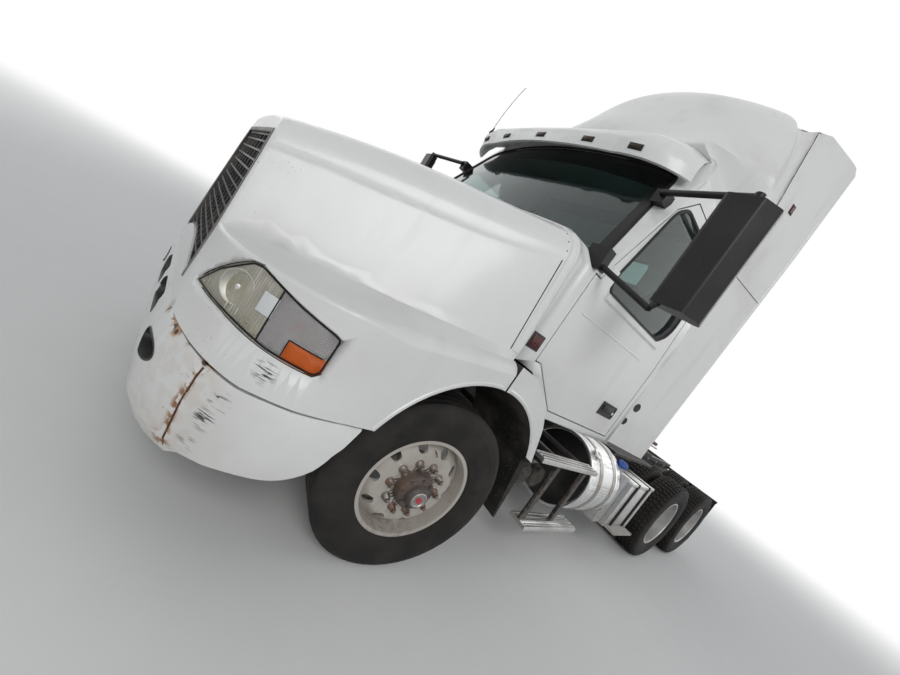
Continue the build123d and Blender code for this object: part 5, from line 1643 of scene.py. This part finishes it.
@dataclass
class Cab:
    """Seals, glass border, wipers, handles, marker lamps, mirror glass and the aerial."""

    lean: float = math.atan(0.53)
    screen_foot: Flat = (-2.280, 2.035)
    screen: tuple[float, float, float, float] = (0.040, 0.890, 1.062, 0.925)
    window: tuple[Flat, ...] = ((0.400, 1.932), (1.200, 1.945), (1.290, 2.010), (1.330, 2.090),
                                (1.330, 2.575), (0.640, 2.575), (0.545, 2.500), (0.388, 2.010))

    def on_screen(self, x: float, up: float) -> Hit:
        """Give the start and direction of a ray that meets the windshield at a place on its plane."""
        y, z = self.screen_foot
        point = Vector((x, y + up * math.sin(self.lean), z + up * math.cos(self.lean)))
        out = Vector((0, -math.cos(self.lean), math.sin(self.lean)))
        return point + out * 0.35, -out

    def border(self, touch: Touch, amount: float) -> list[Hit]:
        """Cast the windshield's outline, widened by an amount, onto a surface."""
        low, high, half_low, half_high = self.screen
        corners = [(-half_low, low), (half_low, low), (half_high, high), (-half_high, high)]
        return touch.paths(self.on_screen(*spot) for spot in grown(rounded(corners, 0.09), amount))

    def glass(self) -> None:
        """Make the windshield's seal, dark border and tint band, and the rear window's seal."""
        glass, shell = Touch("cab_glass"), Touch("cab_shell", "cab_roof")
        Shape().strip(self.border(shell, 0.010), 0.024, 0.005, 0.003, True).settle("screen_seal", RUBBER)
        Shape().strip(self.border(glass, -0.028), 0.058, 0.0008, 0.0004, True, 0.01).settle(
            "screen_border", FRIT, slot=Slot.GLASS)
        places = glass.paths(self.on_screen(-0.90 + 1.80 * step / 28, 0.775) for step in range(29))
        Shape().strip(places, 0.13, 0.0007, 0.0003, False, 0.005).settle("screen_tint_band", TINT_BAND)
        window = rounded([(-0.560, 2.060), (0.560, 2.060), (0.560, 2.560), (-0.560, 2.560)], 0.06)
        places = Touch("cab_shell").path([(x, 0.0, z) for x, z in grown(window, 0.012)], (0, -1, 0))
        Shape().strip(places, 0.026, 0.006, 0.003, True).settle("back_window_seal", RUBBER)

    def wipers(self) -> None:
        """Make the two wipers with their arms and pivots."""
        glass, shape = Touch("cab_glass"), Shape()
        for start_x, end_x, pivot_x in ((0.86, 0.14, 0.42), (-0.06, -0.78, -0.44)):
            blade = [(place + normal * 0.006, normal) for place, normal in glass.paths(
                self.on_screen(start_x + (end_x - start_x) * step / 12, 0.115) for step in range(13))]
            shape.strip(blade, 0.012, 0.012, 0.004)
            middle, out = blade[6]
            foot = glass.hit(*self.on_screen(pivot_x, 0.06))
            base = foot[0] + Vector((0, -0.018, -0.045))
            arm = [base, base + out * 0.03, middle.lerp(base, 0.4) + out * 0.035, middle + out * 0.014]
            shape.tube(arm, 0.007, 8).lathe([(-0.02, 0.0), (-0.02, 0.017), (0.034, 0.016), (0.040, 0.010),
                                             (0.040, 0.0)], base, out, 16)
        shape.settle("wipers", PLASTIC)

    def doors(self) -> None:
        """Make each door's window seal, sill, handle and lock."""
        touch, out = Touch("door_left"), Vector((1, 0, 0))
        window = grown(rounded([(y + FRONT_AXLE_Y, z) for y, z in self.window], 0.045), 0.010)
        line = [(-1.965 + 0.86 * step / 12, 1.893 + 0.014 * step / 12) for step in range(13)]
        crease = [(-2.066 + 0.873 * step / 20, 1.737 + 0.027 * step / 20) for step in range(21)]
        rim = [(Vector((1.1345, -1.145 + y, 1.350 + z)), out) for y, z in rounded(block(0.220, 0.086), 0.012)]
        for hand, word in HANDS:
            seal = Shape().strip(touch.from_left(window), 0.024, 0.006, 0.004, True)
            sill = Shape().strip(touch.from_left(line), 0.046, 0.014, 0.002, False, 0.2)
            sill.strip(touch.from_left(crease), 0.014, 0.0035, 0.002, False, 0.45)
            handle = Shape().pad(((1.130, -1.145, 1.350), out), 0.235, 0.100, 0.005, 0.003)
            handle.strip(rim, 0.008, 0.004, 0.001, True)
            handle.pad(((1.135, -1.162, 1.360), out), 0.150, 0.042, 0.010, 0.006)
            lock = Shape().lathe([(0.0, 0.0), (0.0, 0.012), (0.005, 0.012), (0.007, 0.010), (0.007, 0.0)],
                                 (1.134, -1.060, 1.345), out, 20)
            for name, shape, finish in (("window_seal", seal, RUBBER), ("window_sill", sill, WHITE),
                                        ("handle", handle, PLASTIC), ("lock", lock, CHROME)):
                if hand < 0:
                    shape.outwards().mirror(False)
                shape.settle(f"door_{word}_{name}", finish, f"door_{word}")

    def lamps(self) -> None:
        """Make the visor's lamps and the side markers."""
        visor, lens, base = Touch("sun_visor"), Shape(), Shape()
        for found in visor.path([(x, -3.2, 2.745) for x in (-0.75, -0.42, 0.0, 0.42, 0.75)], (0, 1, 0)):
            base.pad(found, 0.088, 0.036, 0.004, 0.002)
            lens.pad(found, 0.074, 0.024, 0.013, 0.007)
        base.settle("visor_lamp_bases", PLASTIC)
        lens.settle("visor_lamps", LENS_SMOKE)
        sides, out = Touch("side_extenders"), (1, 0, 0)
        frames = Shape().pad(((1.130, -2.254, 1.476), out), 0.104, 0.088, 0.005, 0.003)
        red = Shape().pad(((1.130, -2.254, 1.476), out), 0.082, 0.066, 0.011, 0.005)
        for found in sides.from_left([(-0.599, 3.338)]):
            frames.pad(found, 0.05, 0.075, 0.003, 0.002)
            red.pad(found, 0.036, 0.060, 0.009, 0.004)
        for y, z, size in ((-0.735, 1.342, 0.03), (-0.700, 1.482, 0.036)):
            for found in sides.from_left([(y, z)]):
                frames.lathe([(-0.002, 0.0), (-0.002, size), (0.003, size), (0.004, size * 0.8),
                              (0.001, size * 0.7), (0.001, 0.0)], *found, 24)
        frames.mirror().settle("side_marker_frames", PLASTIC)
        red.mirror().settle("side_markers", LENS_RED)

    def mirrors(self) -> None:
        """Set the flat and the rounded glass in the mirrors' rear faces."""
        touch, glass, rim = Touch("mirrors"), Shape(), Shape()
        out = Vector((-0.354, 0.935, 0)).normalized()
        for z, wide, high in ((2.275, 0.158, 0.385), (2.005, 0.158, 0.105)):
            for found in touch.path([Vector((1.505, -1.986, z)) + out * 0.3], -out):
                glass.pad(found, wide, high, 0.003, 0.0012)
                turn, edge = facing(*found), rounded(block(wide, high), 0.015)
                rim.strip([(turn @ Vector((x, y, 0)), found[1]) for x, y in edge], 0.012, 0.006, 0.002, True)
        glass.mirror().settle("mirror_glass", MIRROR)
        rim.mirror().settle("mirror_glass_rims", RUBBER)

    def aerial(self) -> None:
        """Stand the aerial on the visor's right end."""
        foot = Touch("sun_visor", "cab_roof").hit((-0.8, -2.0, 3.6), (0, 0, -1))[0]
        shape = Shape().lathe([(-0.004, 0.0), (-0.004, 0.018), (0.010, 0.016), (0.030, 0.008), (0.055, 0.006),
                               (0.055, 0.0)], foot, (0, 0.1, 1), 16)
        shape.tube([foot + Vector((0, 0.0006 * k * k, 0.05 * k)) for k in range(11)], 0.0024, 8)
        shape.settle("aerial", PLASTIC)

    def build(self) -> None:
        """Make all of the cab's fittings."""
        for step in (self.glass, self.wipers, self.doors, self.lamps, self.mirrors, self.aerial):
            step()


@dataclass
class Wings:
    """Panels that carry the roof fairing out to the side extenders, and the extenders' folds and joints."""

    station: float = -1.12
    middle_z: float = 3.30
    foot_z: float = 2.99
    rows: int = 30
    steps: int = 9

    def edge(self) -> list[Vector]:
        """Find the left extender's front edge from foot to top, then the fairing's rear corner."""
        sides, fairing = Touch("side_extenders"), Touch("roof_fairing")
        points = []
        for row in range(40):
            z = self.foot_z - 0.04 + row * 0.026
            found = sides.from_left(((-0.80 + column * 0.005, z) for column in range(80)), 1.7)
            points += [place[0] for place in found[:1]]
        return points + [place[0] for place in fairing.path([(0.52, -0.835, 4.6)], (0, 0, -1))]

    def build(self) -> None:
        """Make both wings with their joints, and the extenders' joints and folds."""
        fairing, sides, edge = Touch("roof_fairing"), Touch("side_extenders"), self.edge()
        turns = [math.atan2(p.z - self.middle_z, p.x) for p in edge]
        low, high = math.atan2(self.foot_z - self.middle_z, edge[0].x), turns[-1]
        shape = Shape()
        rings, places = [], []
        for row in range(self.rows + 1):
            turn = low + (high - low) * row / self.rows
            way = Vector((math.cos(turn), 0, math.sin(turn)))
            found = fairing.hit(Vector((0, self.station, self.middle_z)) + way * 2.2, -way)
            if not found:
                continue
            number = next((k for k in range(1, len(turns)) if turns[k] >= turn), len(turns) - 1)
            share = (turn - turns[number - 1]) / (turns[number] - turns[number - 1])
            outer = edge[number - 1].lerp(edge[number], min(1, max(0, share)))
            inner = found[0] - found[1] * 0.001
            gap = outer - inner
            steps = [(step / self.steps, (step / self.steps) ** 1.6) for step in range(self.steps + 1)]
            rings.append(shape.points((inner.x + gap.x * ease, inner.y + gap.y * even, inner.z + gap.z * ease)
                                      for even, ease in steps))
            places.append((outer, way))
        shape.stitch(rings, closed=False)
        shape.bm.normal_update()
        if sum(f.normal.x for f in shape.bm.faces) < 0:
            bmesh.ops.reverse_faces(shape.bm, faces=list(shape.bm.faces))
        wall(shape.mirror().settle("fairing_wings", WHITE_FAIRING, sharp=40, outward=False), 0.004, -1.0)
        across = sides.from_left(((-0.775 + 0.50 * k / 12, 2.71) for k in range(13)), 1.7)
        Shape().strip(places[:-6], 0.007, 0.0012).strip(across, 0.006, 0.0008).mirror().settle(
            "extender_joints", RUBBER)
        tips = sides.from_left(((-0.262, 1.16 + 2.30 * k / 40) for k in range(41)), 1.7)
        Shape().strip(tips, 0.026, 0.004).mirror().settle("extender_folds", WHITE_FAIRING)


@dataclass
class Seats:
    """The two seats: pedestals and padded cushions with sewn channels and piping."""

    middle_x: float = 0.56
    squareness: float = 5.0
    lean: float = math.pi / 2 - math.atan2(0.130, 0.650)

    def cushion(self, size: Spot, channels: int, spot: Spot, lean: float = 0.0) -> Shape:
        """Make a crowned cushion whose sides pull in between its corners.

        Args:
            size: its width, depth and thickness.
            channels: how many sewn channels cross its top.
            spot: where its middle goes.
            lean: how far it is tipped up about X, from lying flat.

        Returns:
            The cushion.
        """
        shape, power = Shape(), self.squareness
        bmesh.ops.create_cube(shape.bm, size=2.0)
        bmesh.ops.subdivide_edges(shape.bm, edges=list(shape.bm.edges), cuts=27, use_grid_fill=True)
        for vert in shape.bm.verts:
            u, v, w = vert.co
            length = (abs(u) ** power + abs(v) ** power + abs(w) ** power) ** (1 / power)
            u, v, w = u / length, v / length, w / length
            pull = 1 - 0.035 * (1 - abs(w))
            waist_x, waist_y = 1 - 0.03 * (1 - v * v), 1 - 0.03 * (1 - u * u)
            crown = 1 + 0.12 * (1 - u * u) * (1 - v * v) * (1 if w > 0 else 0.3)
            groove = 0.0
            if w > 0.5 and abs(u) < 0.86:
                phase = math.sin(math.pi * channels * (v + 1) / 2)
                groove = 0.10 * (1 - min(1, abs(phase) * 3.2)) ** 2
            side_seam = 0.07 * math.exp(-((abs(u) - 0.78) / 0.03) ** 2) if w > 0.4 else 0.0
            vert.co = Vector((u * waist_x * pull * size[0] / 2, v * waist_y * pull * size[1] / 2,
                              (w * crown - groove - side_seam) * size[2] / 2))
        return shape.move(Matrix.Translation(spot) @ Matrix.Rotation(lean, 4, "X"))

    def build(self) -> None:
        """Make both seats in place of their solids."""
        for hand, word in HANDS:
            x = self.middle_x * hand
            for name, size, channels, y, z, lean in (
                    ("cushion", (0.49, 0.48, 0.15), 4, -1.310, 1.548, 0.0),
                    ("back", (0.46, 0.60, 0.11), 6, -1.045, 1.94, self.lean),
                    ("head_rest", (0.30, 0.14, 0.10), 1, -0.985, 2.225, self.lean)):
                shape = self.cushion(size, channels, (x, y, z), lean)
                piece = shape.settle(f"seat_{word}_{name}", CLOTH, sharp=60)
                if name == "cushion":
                    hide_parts("seats")
            foot = Shape().box((x - 0.15, -1.455, 1.175), (x + 0.15, -1.155, 1.30), 0.02)
            for z in (1.30 + level * 0.036 for level in range(5)):
                foot.box((x - 0.135, -1.44, z), (x + 0.135, -1.17, z + 0.03), 0.012)
            foot.box((x - 0.15, -1.455, 1.465), (x + 0.15, -1.155, 1.485), 0.006)
            foot.box((x - 0.22, -1.16, 1.50), (x + 0.22, -1.10, 1.60), 0.02)
            foot.settle(f"seat_{word}_pedestal", INSIDE)


@dataclass
class SideGear:
    """Grated steps, tank trim, caps, the battery box's ribs and the exhaust's bands."""

    tank: Spot = (0.845, 0.690, 0.335)
    tank_y: Flat = (-0.705, -0.120)
    boards: tuple[tuple[float, float, float, float, float], ...] = ((1.105, 1.200, -1.605, -0.785, 0.902),
                                                                    (1.050, 1.200, -1.265, -0.465, 0.358))
    hole_pitch: float = 0.0205

    def grating(self, repeats: Repeats) -> None:
        """Raise the steps' gripping ridges, lay thin dark slabs of painted shade over their openings, and cap
        their edges.

        Args:
            repeats: the trees that set the dark slabs in rows.
        """
        ridges, hole_shade_slabs, noses = Shape(), Shape(), Shape()
        for low_x, high_x, low_y, high_y, z in self.boards:
            count = max(3, round((high_x - low_x) / 0.036))
            pitch = (high_x - low_x) / count
            for number in range(count):
                middle = low_x + pitch * (number + 0.5) - 0.004
                ridges.box((middle - 0.0065, low_y + 0.012, z - 0.002),
                           (middle + 0.0065, high_y - 0.012, z + 0.006), 0.003)
            half = (pitch - 0.017) / 2
            # Thin dark slabs on the boards stand in for the openings: painted shade, not a cut.
            slot = Shape().box((-half, -0.0060, -0.001), (half, 0.0060, 0.0009), 0.0008)
            middle = Vector(((low_x + high_x) / 2 - 0.004 + pitch / 2, (low_y + high_y) / 2, z))
            spots = [Matrix.Translation(middle), Matrix.Translation((-middle.x, middle.y, z))]
            hole_shade_slabs.add(repeats.spread(Pattern.GRID, slot, DARK_LINER_AND_HOLE_SHADE, spots, Columns=count - 1 + (count < 4),
                                     Rows=int((high_y - low_y - 0.05) / self.hole_pitch), Pitch_X=pitch,
                                     Pitch_Y=self.hole_pitch))
            noses.box((1.196, low_y, z - 0.033), (1.2045, high_y, z + 0.0015), 0.003)
        ridges.mirror().settle("step_ridges", STEP_METAL)
        hole_shade_slabs.settle("step_holes", DARK_LINER_AND_HOLE_SHADE)
        noses.mirror().settle("step_noses", STEP_METAL)

    def tanks(self) -> None:
        """Dress the tanks' ends, bands and fillers."""
        x, z, radius = self.tank
        faces, rings, seams = Shape(), Shape(), Shape()
        for y, way in zip(self.tank_y, (-1, 1)):
            end = ((x, y, z), (0, way, 0))
            faces.lathe([(-0.004, radius - 0.012), (0.003, radius - 0.014), (0.004, radius - 0.05),
                         (0.001, 0.24), (0.004, 0.16), (0.006, 0.0)], *end, 56)
            rings.lathe([(-0.012, radius + 0.001), (0.002, radius + 0.001), (0.006, radius - 0.006),
                         (0.006, radius - 0.020), (0.001, radius - 0.026), (-0.004, radius - 0.026)],
                        *end, 64, True)
        for y in (-0.640, -0.190):
            seams.lathe([(-0.006, radius - 0.002), (-0.003, radius + 0.002), (0.003, radius + 0.002),
                         (0.006, radius - 0.002)], (x, y, z), (0, 1, 0), 64, True)
        way = Vector((0.55, 0, 0.83)).normalized()
        caps = Shape().lathe([(0.0, 0.040), (0.006, 0.040), (0.008, 0.034), (0.016, 0.034), (0.017, 0.046),
                              (0.022, 0.049), (0.030, 0.049), (0.034, 0.044), (0.035, 0.014), (0.042, 0.012),
                              (0.042, 0.0)], Vector((x, -0.600, z)) + way * (radius - 0.004), way, 28)
        faces.mirror().settle("tank_faces", PLASTIC, slot=Slot.FRAME)
        rings.mirror().settle("tank_rings", CHROME)
        seams.mirror().settle("tank_seams", TANK_METAL)
        caps.mirror().settle("tank_fillers", ALLOY)
        way = Vector((0.020, -0.030, 0.085)).normalized()
        foot = Vector((1.060, -0.065, 0.985)) - way * 0.006
        Shape().lathe([(-0.010, 0.047), (-0.010, 0.050), (0.012, 0.050), (0.017, 0.045), (0.018, 0.012),
                       (0.022, 0.010), (0.022, 0.0), (-0.010, 0.0)], foot, way, 28).settle(
            "blue_filler_cap", BLUE_CAP)

    def boxes(self) -> None:
        """Rib the battery box and strap it, and band the exhaust and the reservoirs."""
        ribs, straps, bands = Shape(), Shape(), Shape()
        low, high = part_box("battery_box")
        for start_y, end_y in ((low.y + 0.012, 0.165), (0.235, 0.465), (0.535, high.y - 0.012)):
            ribs.box((1.186, start_y, 0.425), (1.195, end_y, 0.855), 0.005)
            if end_y - start_y > 0.1:
                ribs.box((1.190, start_y + 0.022, 0.450), (1.1985, end_y - 0.022, 0.835), 0.006)
        ribs.box((0.60, low.y - 0.004, 0.862), (1.200, high.y + 0.004, 0.892), 0.006)
        for y in (0.20, 0.50):
            straps.box((1.186, y - 0.022, 0.40), (1.2045, y + 0.022, 0.885), 0.002)
            straps.box((0.60, y - 0.022, 0.886), (1.203, y + 0.022, 0.896), 0.002)
        ribs.settle("battery_box_ribs", STEP_METAL)
        straps.settle("battery_box_straps", RUBBER)
        for y in (0.02, 0.20, 0.55, 0.72):
            bands.lathe([(-0.018, 0.229), (-0.016, 0.234), (0.016, 0.234), (0.018, 0.229)], (-0.8, y, 0.68),
                        (0, 1, 0), 48, True)
        for x, y in ((x, y) for y in (-1.495, -1.295, -1.095) for x in (0.69, 0.90)):
            bands.lathe([(-0.014, 0.084), (-0.013, 0.088), (0.013, 0.088), (0.014, 0.084)], (x, y, 0.62),
                        (1, 0, 0), 32, True)
        bands.settle("clamp_bands", STEEL)

    def build(self, repeats: Repeats) -> None:
        """Make all of the side gear."""
        self.grating(repeats)
        self.tanks()
        self.boxes()


@dataclass
class ChassisTrim:
    """Frame bolts, air lines, the deck's tread, the fifth wheel's handle and the tail lamps."""

    rail_x: float = 0.432
    bolt_stations: tuple[float, ...] = (-3.05, -1.72, -0.86, 0.14, 0.98, 1.30, 1.86, 2.26, 2.60, 3.16, 3.40)
    line_radius: float = 0.0075
    tread_pitch: float = 0.052

    def bolts(self, trim: WheelTrim, repeats: Repeats) -> None:
        """Set the groups of bolts on the rails' webs and the fifth wheel's brackets.

        Args:
            trim: makes a bolt.
            repeats: the trees that set bolts in rows.
        """
        places = [facing((hand * self.rail_x, station, 0.875), (hand, 0, 0))
                  for station in self.bolt_stations for hand in (1, -1)]
        shape = repeats.spread(Pattern.GRID, trim.bolt(0.012), NUT, places, Columns=3, Rows=2, Pitch_X=0.075,
                               Pitch_Y=0.110)
        places = [Matrix.Translation((hand * 0.397, y, 1.032)) for hand in (1, -1) for y in (1.80, 2.39)]
        shape.add(repeats.spread(Pattern.GRID, trim.bolt(0.012), NUT, places, Columns=2, Rows=2, Pitch_X=0.04,
                                 Pitch_Y=0.12)).settle("frame_bolts", NUT)

    def lines(self) -> None:
        """Run the air lines along the rails and clip them."""
        lines, clips = Shape(), Shape()
        for number in range(3):
            z = 0.965 - number * 0.020
            wave = [(0.4435 + 0.002 * math.sin(k * 1.3 + number), -0.05 + k * 0.14,
                     z + 0.0025 * math.sin(k * 0.9 + number)) for k in range(26)]
            lines.tube(wave, self.line_radius, 8).tube([(-x, y, z) for x, y, z in wave], self.line_radius, 8)
        for k in range(9):
            y = 0.02 + k * 0.40
            for low, high in ((0.431, 0.4535), (-0.4535, -0.431)):
                clips.box((low, y - 0.008, 0.912), (high, y + 0.008, 0.978), 0.003)
        lines.settle("air_lines", RUBBER)
        clips.settle("air_line_clips", STEEL)

    def deck(self, repeats: Repeats) -> None:
        """Raise the deck plate's tread.

        Args:
            repeats: the trees that set its ridges in rows.
        """
        item = Shape()
        for vert in bmesh.ops.create_cube(item.bm, size=1.0)["verts"]:
            x, y, z = vert.co
            vert.co = Vector((x * (0.030 if z < 0 else 0.024), y * 0.008 * (1 - 0.4 * abs(x)), z * 0.003))
        item.move(Matrix.Rotation(math.radians(45), 4, "Z"))
        other = item.copied().move(Matrix.Rotation(math.radians(90), 4, "Z"))
        low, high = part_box("deck_plate")
        middle, half, shape = (low + high) / 2, self.tread_pitch / 2, Shape()
        for ridge, shift in ((item, 0.0), (other, half)):
            place = Matrix.Translation((middle.x + shift, middle.y + shift, high.z + 0.0012))
            shape.add(repeats.spread(Pattern.GRID, ridge, CHASSIS, [place], Columns=36, Rows=20,
                                     Pitch_X=self.tread_pitch, Pitch_Y=self.tread_pitch))
        shape.settle("deck_tread", CHASSIS)

    def coupling(self) -> None:
        """Make the fifth wheel's handle and its greased jaw."""
        Shape().tube([(0.30, 2.02, 1.172), (0.44, 2.02, 1.172), (0.53, 2.03, 1.170), (0.555, 2.05, 1.170),
                      (0.555, 2.10, 1.170), (0.53, 2.12, 1.170), (0.505, 2.10, 1.170), (0.505, 2.05, 1.170)],
                     0.009).settle("coupling_handle", STEEL, "fifth_wheel")
        jaw = Shape().lathe([(0.0, 0.028), (0.0, 0.060), (0.003, 0.058), (0.003, 0.030)], (0, 2.095, 1.2235),
                            sides=40, loop=True)
        jaw.settle("coupling_jaw_ring", HUB_GREASE, "fifth_wheel")

    def tail(self) -> None:
        """Make the tail lamps in their grommets and the blank plate between them."""
        base, red, back = Shape(), Shape(), (0, 1, 0)
        for x in (-0.36, -0.24, 0.24, 0.36):
            base.lathe([(-0.002, 0.0), (-0.002, 0.054), (0.008, 0.054), (0.010, 0.049), (0.007, 0.047),
                        (0.007, 0.0)], (x, 3.635, 0.80), back, 32)
            red.lathe([(0.006, 0.0), (0.006, 0.046), (0.012, 0.044), (0.017, 0.032), (0.019, 0.0)],
                      (x, 3.635, 0.80), back, 32)
        base.settle("tail_lamp_grommets", RUBBER)
        red.settle("tail_lamps", LENS_RED)
        plate = Shape().pad(((0, 3.635, 0.80), back), 0.300, 0.150, 0.003, 0.001)
        plate.settle("blank_plate", LABEL, slot=Slot.STEEL)

    def build(self, trim: WheelTrim, repeats: Repeats) -> None:
        """Make all of the frame's trim.

        Args:
            trim: makes a bolt.
            repeats: the trees that repeat items.
        """
        self.bolts(trim, repeats)
        self.lines()
        self.deck(repeats)
        self.coupling()
        self.tail()


@dataclass
class Stage:
    """Pale floor, soft lamps, white background and the camera at the photograph's angle."""

    eye: Spot = (2.3062, -3.7757, 1.4651)
    right: Spot = (0.5034, 0.6700, 0.5456)
    down: Spot = (0.4313, 0.3523, -0.8305)
    ahead: Spot = (-0.7487, 0.6534, -0.1116)
    lens: float = 14.80
    sensor: float = 36
    floor_radius: float = 90
    fade: Flat = (6.5, 17.0)
    lamps: tuple[tuple[str, Spot, Spot, float, float], ...] = (
        ("key", (8.5, -7.0, 7.0), (0, -1.0, 1.2), 5.0, 390),
        ("fill", (-8.0, -6.0, 6.0), (0, -1.0, 1.2), 6.0, 85),
        ("rear", (3.0, 11.0, 8.0), (0, 1.0, 1.2), 6.0, 150))

    def stand(self, name: str, data: bpy.types.ID, matrix: Matrix) -> bpy.types.Object:
        """Put a camera, lamp or mesh into the scene.

        Args:
            name: its name.
            data: what it shows.
            matrix: where it stands.

        Returns:
            The object.
        """
        thing = bpy.data.objects.new(name, data)
        thing.matrix_world = matrix
        bpy.context.scene.collection.objects.link(thing)
        return thing

    def camera(self) -> None:
        """Set the camera."""
        data = bpy.data.cameras.new("camera")
        data.lens, data.sensor_width = self.lens, self.sensor
        data.clip_start, data.clip_end = 0.05, 400
        turn = Matrix((Vector(self.right), -Vector(self.down), -Vector(self.ahead))).transposed().to_4x4()
        bpy.context.scene.camera = self.stand("camera", data, Matrix.Translation(self.eye) @ turn)

    def floor(self) -> None:
        """Lay the floor, which fades to the background far away."""
        shape = Shape()
        bmesh.ops.create_circle(shape.bm, cap_ends=True, segments=64, radius=self.floor_radius)
        mesh = shape.mesh("floor")
        bench = Bench("pale_floor")
        tint = bench.noise(4, 6).mix((0.86, 0.855, 0.84), (0.90, 0.89, 0.875))
        bench.fixed(Base_Color=tint, Roughness=0.85)
        bench.bump(bench.noise(90, 4), 0.001, 0.3)
        far = bench.node("ShaderNodeVectorMath", {0: bench.where}, "Value", operation="LENGTH")
        share = far.span(*self.fade) * bench.node("ShaderNodeLightPath", {}, "Is Camera Ray")
        glow = bench.node("ShaderNodeEmission", {})
        blend = bench.node("ShaderNodeMixShader", {0: share, 1: bench.shader.outputs[0], 2: glow})
        bench.join(blend, bench.output.inputs["Surface"])
        mesh.materials.append(bench.material)
        self.stand("floor", mesh, Matrix.Translation((0, 0, -0.001)))

    def lamp(self, name: str, spot: Spot, aim: Spot, size: float, power: float) -> None:
        """Hang one soft square lamp.

        Args:
            name: its name.
            spot: where it hangs.
            aim: the place that it looks at.
            size: the length of its side.
            power: its power.
        """
        data = bpy.data.lights.new(name, "AREA")
        data.size, data.energy = size, power
        turn = (Vector(aim) - Vector(spot)).to_track_quat("-Z", "Y").to_matrix().to_4x4()
        self.stand(name, data, Matrix.Translation(spot) @ turn)

    def world(self) -> None:
        """Light the sky softly, white where the camera, gloss or glass sees it."""
        world = bpy.data.worlds.new("sky")
        bpy.context.scene.world = world
        world.use_nodes = True
        world.node_tree.nodes.clear()
        tree = Tree(world.node_tree)
        rays = tree.node("ShaderNodeLightPath", {}, "Is Camera Ray")
        seen = rays | rays.other("Is Glossy Ray") | rays.other("Is Transmission Ray")
        soft = tree.node("ShaderNodeBackground", {0: (0.90, 0.95, 1.0), 1: 0.32})
        white = tree.node("ShaderNodeBackground", {0: (1.0, 1.0, 1.0), 1: 1.0})
        output = tree.tree.nodes.new("ShaderNodeOutputWorld")
        tree.join(tree.node("ShaderNodeMixShader", {0: seen, 1: soft, 2: white}), output.inputs[0])

    def build(self) -> None:
        """Make the whole stage."""
        self.camera()
        self.floor()
        self.world()
        for lamp in self.lamps:
            self.lamp(*lamp)
        bpy.context.scene.view_settings.view_transform = "Standard"


def main() -> None:
    """Build the dressed tractor in order."""
    logging.basicConfig(level=logging.INFO, format="%(message)s")
    Stage().build()
    repeats, skins, trim = Repeats(), Skins(), WheelTrim()
    skins.build()
    Tyres().build(repeats)
    trim.build(repeats)
    Headlamps().build(skins)
    Nose().build()
    Cab().build()
    Wings().build()
    Seats().build()
    SideGear().build(repeats)
    ChassisTrim().build(trim, repeats)


if __name__ == "__main__":
    main()
